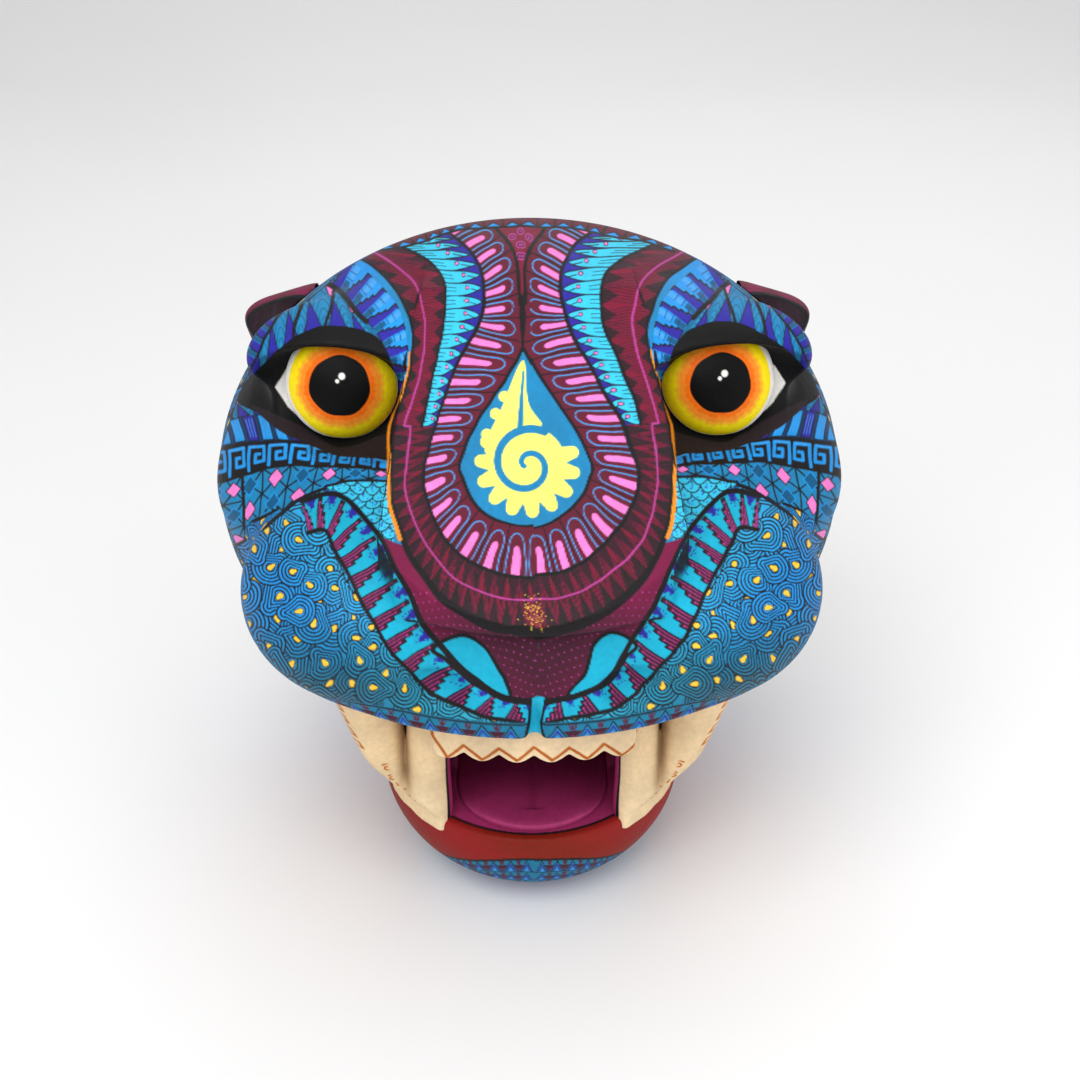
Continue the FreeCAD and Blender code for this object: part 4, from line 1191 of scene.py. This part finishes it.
def tooth_colours(co, normal):
    """The cheek teeth: cream with a stepped key along the outer fang and small curls below."""
    x, y, z = co.T
    colours, bare = cream_colours(co, normal)
    keys = Sheet((-200, -100), (-60, -16), FINENESS * 1.5, "cream")
    for row in range(5):
        low = -24 - 7.4 * row
        middle = -180 + 1.2 * row
        step = [(middle + 5, low), (middle - 5, low), (middle - 5, low - 3.6), (middle + 3, low - 3.6)]
        keys.stroke(step, 1.0, "umber")
    curls = Sheet((40, -104), (80, -60), FINENESS * 1.5, "cream")
    for centre, reach in (((63, -68), 2.6), ((61, -75), 2.2), ((58, -80), 1.6)):
        turns = np.radians(np.linspace(40, 500, 30))
        radii = np.linspace(reach, 0.5, 30)[:, None]
        curl = np.array(centre) + radii * np.stack([np.cos(turns), np.sin(turns)], 1)
        curls.stroke(curl, 0.8, "umber")
    curls.dots([(56, -84), (54, -86), (52, -88), (50, -90), (48, -91.5)], 1.1, "umber")
    outward = normal[:, 0] * np.sign(x)
    # Painted shade: brown darkening in the crease between the outer fang and the inner one.
    crease_shade = np.exp(-((np.abs(x) - 55.5 - 0.03 * (z + 60)) / 2.4) ** 2)
    crease_shade = crease_shade * ramp(-y, 160, 172) * ramp(z, -96, -70)
    colours = over(colours, "shade", 0.55 * crease_shade)
    shift = 0.3 * np.sin(z / 3)
    for drawn, share in ((keys.look_up(y + shift, z), ramp(outward, 0.25, 0.4) * ramp(np.abs(x), 62, 65)),
                         (curls.look_up(np.abs(x) + shift, z), ramp(outward, -0.3, -0.1))):
        mark = np.clip(np.abs(drawn - paint("cream")).sum(1) / 0.9, 0, 1)
        colours = over(colours, "umber", mark * share)
    inward = -outward * (np.abs(x) < 45)
    colours = over(colours, mouth_colour(y), ramp(inward, 0.80, 0.86))
    line = 1 - ramp(np.abs(inward - 0.78), 0.05, 0.09)
    return over(colours, "night", line * ramp(-y, 160, 170)), bare


def eye_colours(co, normal):
    """Rings round the line of sight: black pupil, orange, yellow, white, and a black rim."""
    side = 1.0 if co[:, 0].mean() > 0 else -1.0
    local = (co - EYE_CENTRE * (side, 1, 1)) * (side, 1, 1)
    across = local - np.outer(local @ SIGHT, SIGHT)
    reach = np.linalg.norm(across, axis=1) / EYE_RADIUS
    turned = np.arctan2(across[:, 2], across[:, 0])
    reach = reach + 0.008 * np.sin(3 * turned + side) + 0.005 * np.sin(7 * turned)
    outer = ramp(across[:, 0] / EYE_RADIUS, 0.2, 0.8)
    colours = np.tile(paint("night"), (len(co), 1))
    colours = over(colours, "white", 1 - ramp(reach, 0.965 + 0.1 * outer, 0.975 + 0.1 * outer))
    colours = over(colours, "iris_edge", 1 - ramp(reach, 0.955 - 0.05 * outer, 0.965 - 0.05 * outer))
    brushed = 0.02 * np.sin(23 * turned) * np.sin(11 * turned + 1)
    rings = (("iris", 0.9, 0.73, 0.78), ("orange", 0.8, 0.68, 0.72), ("flame", 0.85, 0.58, 0.64))
    for name, strength, full, gone in rings:
        colours = over(colours, name, strength * (1 - ramp(reach + brushed, full, gone)))
    colours = over(colours, "pitch", 1 - ramp(reach, 0.515, 0.53))
    # Two painted highlights: small white glints on the pupil above its middle.
    for right, up, size in ((-0.05, 0.17, 0.060), (0.03, 0.09, 0.036)):
        gap = np.hypot(across[:, 0] / EYE_RADIUS + right * side, across[:, 2] / EYE_RADIUS - up)
        colours = over(colours, "white", 1 - ramp(gap, size - 0.01, size + 0.01))
    forward = local @ SIGHT + 9 * outer
    return over(colours, "night", 1 - ramp(forward, 3, 4)), np.zeros(len(co), bool)


def ear_colours(co, normal):
    """Dark red with pink flames inside the cup, and a black rim."""
    side = 1.0 if co[:, 0].mean() > 0 else -1.0
    x, y, z = co.T
    x = x * side
    colours = mix("maroon", "crimson", 0.5 + 0.5 * np.sin(x / 2.1 + 0.3 * z) * ramp(z, 66, 90))
    cup = ball(x, y, z, EAR_SCOOP, EAR_SCOOP_RADIUS)
    flame = np.exp(-((np.mod(x - 100 + 0.25 * (z - 75), 7.5) - 3.7) / (1.2 - 0.03 * (z - 70))) ** 2)
    colours = over(colours, "magenta", 0.8 * flame * (cup < 1.2) * ramp(z, 92, 82))
    colours = over(colours, "night", ramp(1.6 - np.abs(cup - 1.4), -0.4, 0.4))
    return colours, np.zeros(len(co), bool)


def apply_colours(obj, painter):
    """Write the paint and the share of bare wood onto a piece's vertices."""
    co, normal = vertex_arrays(obj)
    colours, bare = painter(co.astype(float), normal.astype(float))
    colours = np.clip(colours, 0, 1)
    linear = np.where(colours < 0.04045, colours / 12.92, ((colours + 0.055) / 1.055) ** 2.4)
    rgba = np.concatenate([linear, np.asarray(bare, float)[:, None]], 1).astype(np.float32)
    attribute = obj.data.color_attributes.new("paint", "FLOAT_COLOR", "POINT")
    attribute.data.foreach_set("color", rgba.ravel())


# ---------------------------------------------------------------- the other carvings

def jaw_rim(y):
    """Height of the mouth's floor: level in front, rising towards the corner of the mouth."""
    return RIM_Z + np.clip((y + 140) / 45, 0, 1) * 43


def jaw_front(x, y, z):
    """The chin: an upright drum with a well-rounded lower edge."""
    return drum(x, y, z, -110, 70, 82, JAW_LOW[2] + 4, -20, 34)


def jaw_solid(x, y, z):
    x = np.abs(x)
    skull = ellipsoid(x, y, z, *SKULL)
    f = soft_min(jaw_front(x, y, z), skull, 16)
    f = soft_max(f, z - JOINT_Z + 0.1, 1.0)
    opening = np.maximum(jaw_rim(y) - z, y - MOUTH_BACK_Y)
    f = soft_max(f, -opening, 3)
    pocket = np.maximum(np.hypot(x, np.minimum(y + 150, 0)) - 34, np.maximum(y - MOUTH_BACK_Y, -115 - z))
    f = soft_max(f, -pocket, 1)
    return soft_max(f, y, 1.5)


def tongue_solid(x, y, z):
    x = np.abs(x)
    side = np.hypot(x, np.minimum(y + 150, 0)) - 34.3
    lift = 1.5 * ramp(-y, 130, 160) * ramp(34 - x, 0, 16) - 1.2 * np.exp(-(x / 4) ** 2) * (y > -172)
    f = soft_max(side, z - RIM_Z - lift, 0.5)
    return np.maximum(f, np.maximum(-114.8 - z, y - MOUTH_BACK_Y + 0.2))


def teeth_solid(x, y, z):
    """One side's fangs and cheek teeth, carved from one strip of wood."""
    x = np.abs(x)
    upper = tapered(x, y, z, (73, -177, -16), (61, -168, -84), 15.5, 7.5)
    lower = tapered(x, y, z, (46, -168, -107), (43.5, -178, -22), 11.5, 8.5)
    t = np.clip((-20 - z) / 79, 0, 1)
    outer = 84 - 20 * t + 0.11 * (y + 125) * (1 - t)
    inner = outer - 13 - 3 * np.sin(math.pi * t)
    wall = np.maximum(np.maximum(x - outer, inner - x), -160 + 4 * t - y)
    web = np.maximum(np.maximum(x - outer, 38 - x), np.abs(y + 157) - 9)
    f = soft_min(upper, soft_min(lower, soft_min(wall, web, 3) * 0.9, 2), 1.5)
    f = soft_max(f, 37.0 + 0.02 * (z + 20) - x, 1.5)
    lip_edge = drum(x, y, z, -110, 70, 82, -300, 200, 34) - 1.2 - 0.7 * np.maximum(z + 98, 0)
    f = soft_max(f, lip_edge, 2)
    mouth = np.maximum(z - LIP_Z - 1.0, jaw_rim(y) - 6.0 - z)
    f = soft_max(f, np.maximum(mouth, y - MOUTH_BACK_Y - 0.5), 0.6)
    return f + 0.2 * np.sin(x / 3.9 + z / 9 + y / 5) * np.sin(y / 6.1 - z / 11)


def incisor_solid(x, y, z):
    """A plate that follows the lip, with six rounded points along its lower edge."""
    bow = -207 + 0.0022 * x ** 2
    points = np.abs(np.cos((x + 36) * math.pi / 14.4))
    edge = -42.5 - 4.0 * points * (np.abs(x) < 43) + 0.004 * np.abs(x) ** 1.5
    f = soft_max(np.abs(y - bow - 4) - 4, (edge - z) * 0.8, 2)
    f = soft_max(f, (np.abs(x) - 44 - 0.10 * (z + 20)) * 0.95, 2)
    return np.maximum(f, z + 15)


def eye_solid(x, y, z):
    """A dome, flatter along the line of sight, in front of the eye's ball."""
    dx, dy, dz = np.abs(x) - EYE_CENTRE[0], y - EYE_CENTRE[1], z - EYE_CENTRE[2]
    along = dx * SIGHT[0] + dy * SIGHT[1] + dz * SIGHT[2]
    across = np.sqrt(np.maximum(dx ** 2 + dy ** 2 + dz ** 2 - along ** 2, 0))
    dome = ellipsoid(across, along, 0 * z, (0, 5.5, 0), (EYE_RADIUS + 0.3, 16, EYE_RADIUS))
    return soft_min(dome, ball(np.abs(x), y, z, EYE_CENTRE, EYE_RADIUS - 3), 1)


def ear_solid(x, y, z):
    x = np.abs(x)
    c, s = math.cos(math.radians(EAR_TILT)), math.sin(math.radians(EAR_TILT))
    along = (c * (x - 110) - s * (z - 76)) / 20.5
    over_it = (c * (z - 76) + s * (x - 110)) / 11.0
    depth = (y + 26) / 24
    f = ((along ** 6 + over_it ** 6) ** (1 / 3) + depth ** 2) ** 0.5 * 12 - 12
    f = soft_max(f, -ball(x, y, z, EAR_SCOOP, EAR_SCOOP_RADIUS), 1.0)
    skull = ellipsoid(x, y, z, *SKULL)
    f = soft_max(f, 0.2 - skull, 0.6)
    return f


# ---------------------------------------------------------------- finishes

class Finish:
    """A material under construction: its nodes, its links and its surface shader."""

    def __init__(self, name):
        self.material = bpy.data.materials.new(name)
        self.material.use_nodes = True
        self.nodes = self.material.node_tree.nodes
        self.shader = self.nodes["Principled BSDF"]
        self.place = self.nodes.new("ShaderNodeTexCoord").outputs["Object"]

    def put(self, value, socket):
        """Set an input to a plain value, or link it to another node's output."""
        if isinstance(value, bpy.types.NodeSocket):
            self.material.node_tree.links.new(value, socket)
        else:
            socket.default_value = value

    def node(self, kind, output, **inputs):
        """A new node with these inputs, and the named output of it."""
        made = self.nodes.new("ShaderNode" + kind)
        for name, value in inputs.items():
            self.put(value, made.inputs[name.replace("_", " ")])
        return made.outputs[output]

    def surface(self, **inputs):
        for name, value in inputs.items():
            self.put(value, self.shader.inputs[name.replace("_", " ")])

    def noise(self, scale, detail=4.0, stretch=(1, 1, 1)):
        """Noise in object space, stretched along an axis where wanted."""
        place = self.node("Mapping", "Vector", Vector=self.place, Scale=stretch)
        return self.node("TexNoise", "Fac", Vector=place, Scale=scale, Detail=detail)

    def spread(self, value, low, high):
        """Map noise, which stays near its middle, onto a range."""
        return self.node("MapRange", "Result", Value=value, From_Min=0.3, From_Max=0.7,
                         To_Min=low, To_Max=high)

    def grey(self, value):
        return self.node("CombineColor", "Color", Red=value, Green=value, Blue=value)

    def bump(self, height, depth, **normal):
        return self.node("Bump", "Normal", Strength=1.0, Distance=depth, Height=height, **normal)

    def blend(self, kind, share, first, second):
        node = self.nodes.new("ShaderNodeMix")
        node.data_type = "RGBA"
        node.blend_type = kind
        sockets = [socket for socket in node.inputs if socket.type == "RGBA"]
        self.put(share, node.inputs["Factor"])
        self.put(first, sockets[0])
        self.put(second, sockets[1])
        return [socket for socket in node.outputs if socket.type == "RGBA"][0]

    def ladder(self, value, dark, pale, ends=(0.0, 1.0)):
        """A colour between a dark and a pale one."""
        node = self.nodes.new("ShaderNodeValToRGB")
        for stop, colour, place in zip(node.color_ramp.elements, (dark, pale), ends):
            stop.position = place
            stop.color = (*colour, 1)
        self.put(value, node.inputs["Fac"])
        return node.outputs["Color"]

    def wood(self):
        """Pale carved copal wood, streaked along the height: its colour and its streaks."""
        streaks = self.noise(60, 6, (1, 1, 0.12))
        return self.ladder(streaks, (0.36, 0.20, 0.09), (0.72, 0.49, 0.27), (0.3, 0.7)), streaks


def painted_wood(name, roughness=(0.50, 0.66), coat=0.0, cloudy=0.08, specular=0.18):
    """Brushed acrylic over carved wood, with bare wood where it was left unpainted."""
    finish = Finish(name)
    layer = finish.nodes.new("ShaderNodeVertexColor")
    layer.layer_name = "paint"
    brush = finish.noise(420, 3, (1, 0.35, 1))
    cloud = finish.noise(45, 5)
    wash = layer.outputs["Color"]
    for pattern, low, high in ((cloud, 1 - cloudy, 1 + cloudy), (brush, 0.93, 1.06)):
        wash = finish.blend("MULTIPLY", 1.0, wash, finish.grey(finish.spread(pattern, low, high)))
    grain = finish.bump(finish.noise(900, 2, (1, 0.3, 1)), 0.00012)
    strokes = finish.bump(brush, 0.00010, Normal=grain)
    gouges = finish.bump(finish.noise(70, 2), 0.0006, Normal=strokes)
    finish.surface(Base_Color=finish.blend("MIX", layer.outputs["Alpha"], wash, finish.wood()[0]),
                   Roughness=finish.spread(cloud, *roughness), Coat_Weight=coat,
                   Coat_Roughness=0.35, Specular_IOR_Level=specular, Normal=gouges)
    return finish.material


def bare_wood(name):
    """Turned or whittled wood without paint."""
    finish = Finish(name)
    timber, streaks = finish.wood()
    finish.surface(Base_Color=timber, Roughness=finish.spread(streaks, 0.6, 0.8),
                   Normal=finish.bump(streaks, 0.0003))
    return finish.material


def galvanised(name):
    """Dull zinc-plated steel with fine scratches and a little tarnish."""
    finish = Finish(name)
    cloud = finish.noise(350, 5)
    scratches = finish.noise(2200, 2, (1, 0.1, 1))
    finish.surface(Base_Color=finish.ladder(cloud, (0.30, 0.28, 0.25), (0.62, 0.62, 0.60)),
                   Metallic=1.0, Roughness=finish.spread(cloud, 0.28, 0.5),
                   Normal=finish.bump(scratches, 0.00005))
    return finish.material


def pale_ground():
    finish = Finish("pale_ground")
    tone = finish.grey(finish.spread(finish.noise(3), 0.86, 0.88))
    finish.surface(Base_Color=tone, Roughness=0.9)
    return finish.material


# ---------------------------------------------------------------- making the pieces

def medallion_mask():
    """White where the medallion is, black elsewhere."""
    sheet = Sheet((-2, 0), (40, 110), FINENESS, "night")
    sheet.paint[:] = 0
    sheet.fill(np.concatenate([curve(MEDALLION) - (0.7, 0), [(-2, 6), (-2, 84)]]), "white_mask")
    return sheet


def paint_chin():
    """Bands of triangles for the chin; u is the way round and v the height below the lip plus 40."""
    sheet = Sheet((-2, -2), (160, 42), FINENESS, "ocean")
    edges = (40, 31, 23, 14, 6)
    for high, low in zip(edges[:-1], edges[1:]):
        draw_lip(sheet, Strip([(0, low), (160, low)], [(0, high), (160, high)]), 20)
        sheet.stroke([(-2, low), (162, low)], 0.8, "night")
    return sheet


FACE = paint_face()
MEDAL = paint_medallion()
MEDAL_MASK = medallion_mask()
SIDE = paint_side()
LIP = paint_lip()
CHIN = paint_chin()


def make_piece(name, field, low, high, step, painter, material, body, nodes, levels=1):
    """Carve a piece, paint it, and let it stand for its CAD nodes."""
    obj = carve(name, field, low, high, step * COARSER, levels=levels)
    apply_colours(obj, painter)
    obj.data.materials.append(material)
    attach(obj, body)
    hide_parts(*nodes)
    return obj


def one_side(field, side):
    """The field with everything on the other side of the middle plane taken away."""
    return lambda x, y, z: np.maximum(field(x, y, z), -side * x)


ACRYLIC = painted_wood("acrylic_on_carved_wood")
CREAM = painted_wood("cream_paint_on_wood", (0.5, 0.7), 0.05, 0.14)
GLOSSY = painted_wood("glossy_eye_paint", (0.40, 0.50), 0.0, 0.03, 0.10)

make_piece("head_carving", head_solid, HEAD_LOW - 4, HEAD_HIGH + 4, 1.1, head_colours, ACRYLIC, "head",
           ["head_shell"])
make_piece("jaw_carving", jaw_solid, JAW_LOW - 4, JAW_HIGH + 4, 1.2, jaw_colours, ACRYLIC, "head",
           ["lower_jaw"])
make_piece("tongue_carving", tongue_solid, (-38, -188, -119), (38, -92, -88), 1.0, tongue_colours,
           ACRYLIC, "head", ["tongue"])
make_piece("incisor_carving", incisor_solid, (-52, -212, -53), (52, -192, -11), 0.9, incisor_colours,
           CREAM, "head", ["upper_incisors"])
for side_name, side in (("left", -1), ("right", 1)):
    edges = sorted((side * 30, side * 96))
    make_piece("cheek_teeth_carving_" + side_name, one_side(teeth_solid, side),
               (edges[0], -198, -112), (edges[1], -90, -14), 0.9, tooth_colours, CREAM, "head",
               ["upper_fang_" + side_name, "lower_fang_" + side_name, "cheek_teeth_" + side_name])
    low, high = limits("eye_" + side_name)
    make_piece("eye_dome_" + side_name, eye_solid, low - 3, high + 3, 0.8, eye_colours, GLOSSY, "head",
               ["eye_" + side_name])
    low, high = limits("ear_" + side_name)
    make_piece("ear_carving_" + side_name, one_side(ear_solid, side), low - 3, high + 3, 0.8,
               ear_colours, ACRYLIC, side_name + "_ear", ["ear_" + side_name])

finishes = {"ear_peg_left": bare_wood("peg_wood"), "jaw_dowels": bare_wood("dowel_wood"),
            "hanger_ring": galvanised("zinc_ring"), "hanger_strap": galvanised("zinc_strap")}
finishes["ear_peg_right"] = finishes["ear_peg_left"]
finishes["hanger_screws"] = finishes["hanger_strap"]
for node, material in finishes.items():
    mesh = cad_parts[node].data
    mesh.materials.clear()
    mesh.materials.append(material)


# ---------------------------------------------------------------- floor, light and camera

def floor():
    """A wide pale sheet below the head that turns up behind it."""
    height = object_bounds()[0][2] - 0.004
    profile = [(-3.0, height), (1.2, height)]
    for degrees in range(10, 91, 10):
        angle = math.radians(degrees)
        profile.append((1.2 + 1.2 * math.sin(angle), height + 1.2 * (1 - math.cos(angle))))
    profile.append((2.4, height + 4.0))
    vertices = [(side * 4.0, y, z) for y, z in profile for side in (-1, 1)]
    faces = [(2 * i, 2 * i + 1, 2 * i + 3, 2 * i + 2) for i in range(len(profile) - 1)]
    mesh = bpy.data.meshes.new("floor")
    mesh.from_pydata(vertices, [], faces)
    mesh.shade_smooth()
    obj = bpy.data.objects.new("floor", mesh)
    bpy.context.collection.objects.link(obj)
    mesh.materials.append(pale_ground())
    obj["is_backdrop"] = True


def area_light(name, place, aim, size, power):
    light = bpy.data.lights.new(name, "AREA")
    light.size = size
    light.energy = power
    obj = bpy.data.objects.new(name, light)
    bpy.context.collection.objects.link(obj)
    obj.location = place
    obj.rotation_euler = (Vector(aim) - Vector(place)).to_track_quat("-Z", "Y").to_euler()


def studio():
    aim = (0.0, -0.11, 0.0)
    area_light("key", (-0.5, -1.3, 1.4), aim, 1.4, 22)
    area_light("fill", (1.1, -1.1, 0.7), aim, 1.6, 8)
    area_light("top", (0.0, -0.2, 1.7), aim, 1.5, 8)
    area_light("back", (0.3, 1.0, 1.0), aim, 1.2, 4)
    world = bpy.data.worlds.new("studio")
    bpy.context.scene.world = world
    world.use_nodes = True
    backdrop = world.node_tree.nodes["Background"]
    backdrop.inputs["Color"].default_value = (1.0, 1.0, 1.0, 1)
    backdrop.inputs["Strength"].default_value = 0.45
    bpy.context.scene.view_settings.view_transform = "Standard"


def camera():
    """The camera looks down on the face from thirty degrees above its front."""
    data = bpy.data.cameras.new("camera")
    data.sensor_width = 36
    data.lens = 57
    obj = bpy.data.objects.new("camera", data)
    bpy.context.collection.objects.link(obj)
    aim = Vector((0.004, VIEW_TARGET[1] * MM, VIEW_TARGET[2] * MM))
    azimuth, elevation = math.radians(-1), math.radians(30)
    away = Vector((math.sin(azimuth) * math.cos(elevation), -math.cos(azimuth) * math.cos(elevation),
                   math.sin(elevation)))
    obj.location = aim + away * VIEW_DISTANCE * MM
    obj.rotation_euler = (-away).to_track_quat("-Z", "Y").to_euler()
    bpy.context.scene.camera = obj


floor()
studio()
camera()
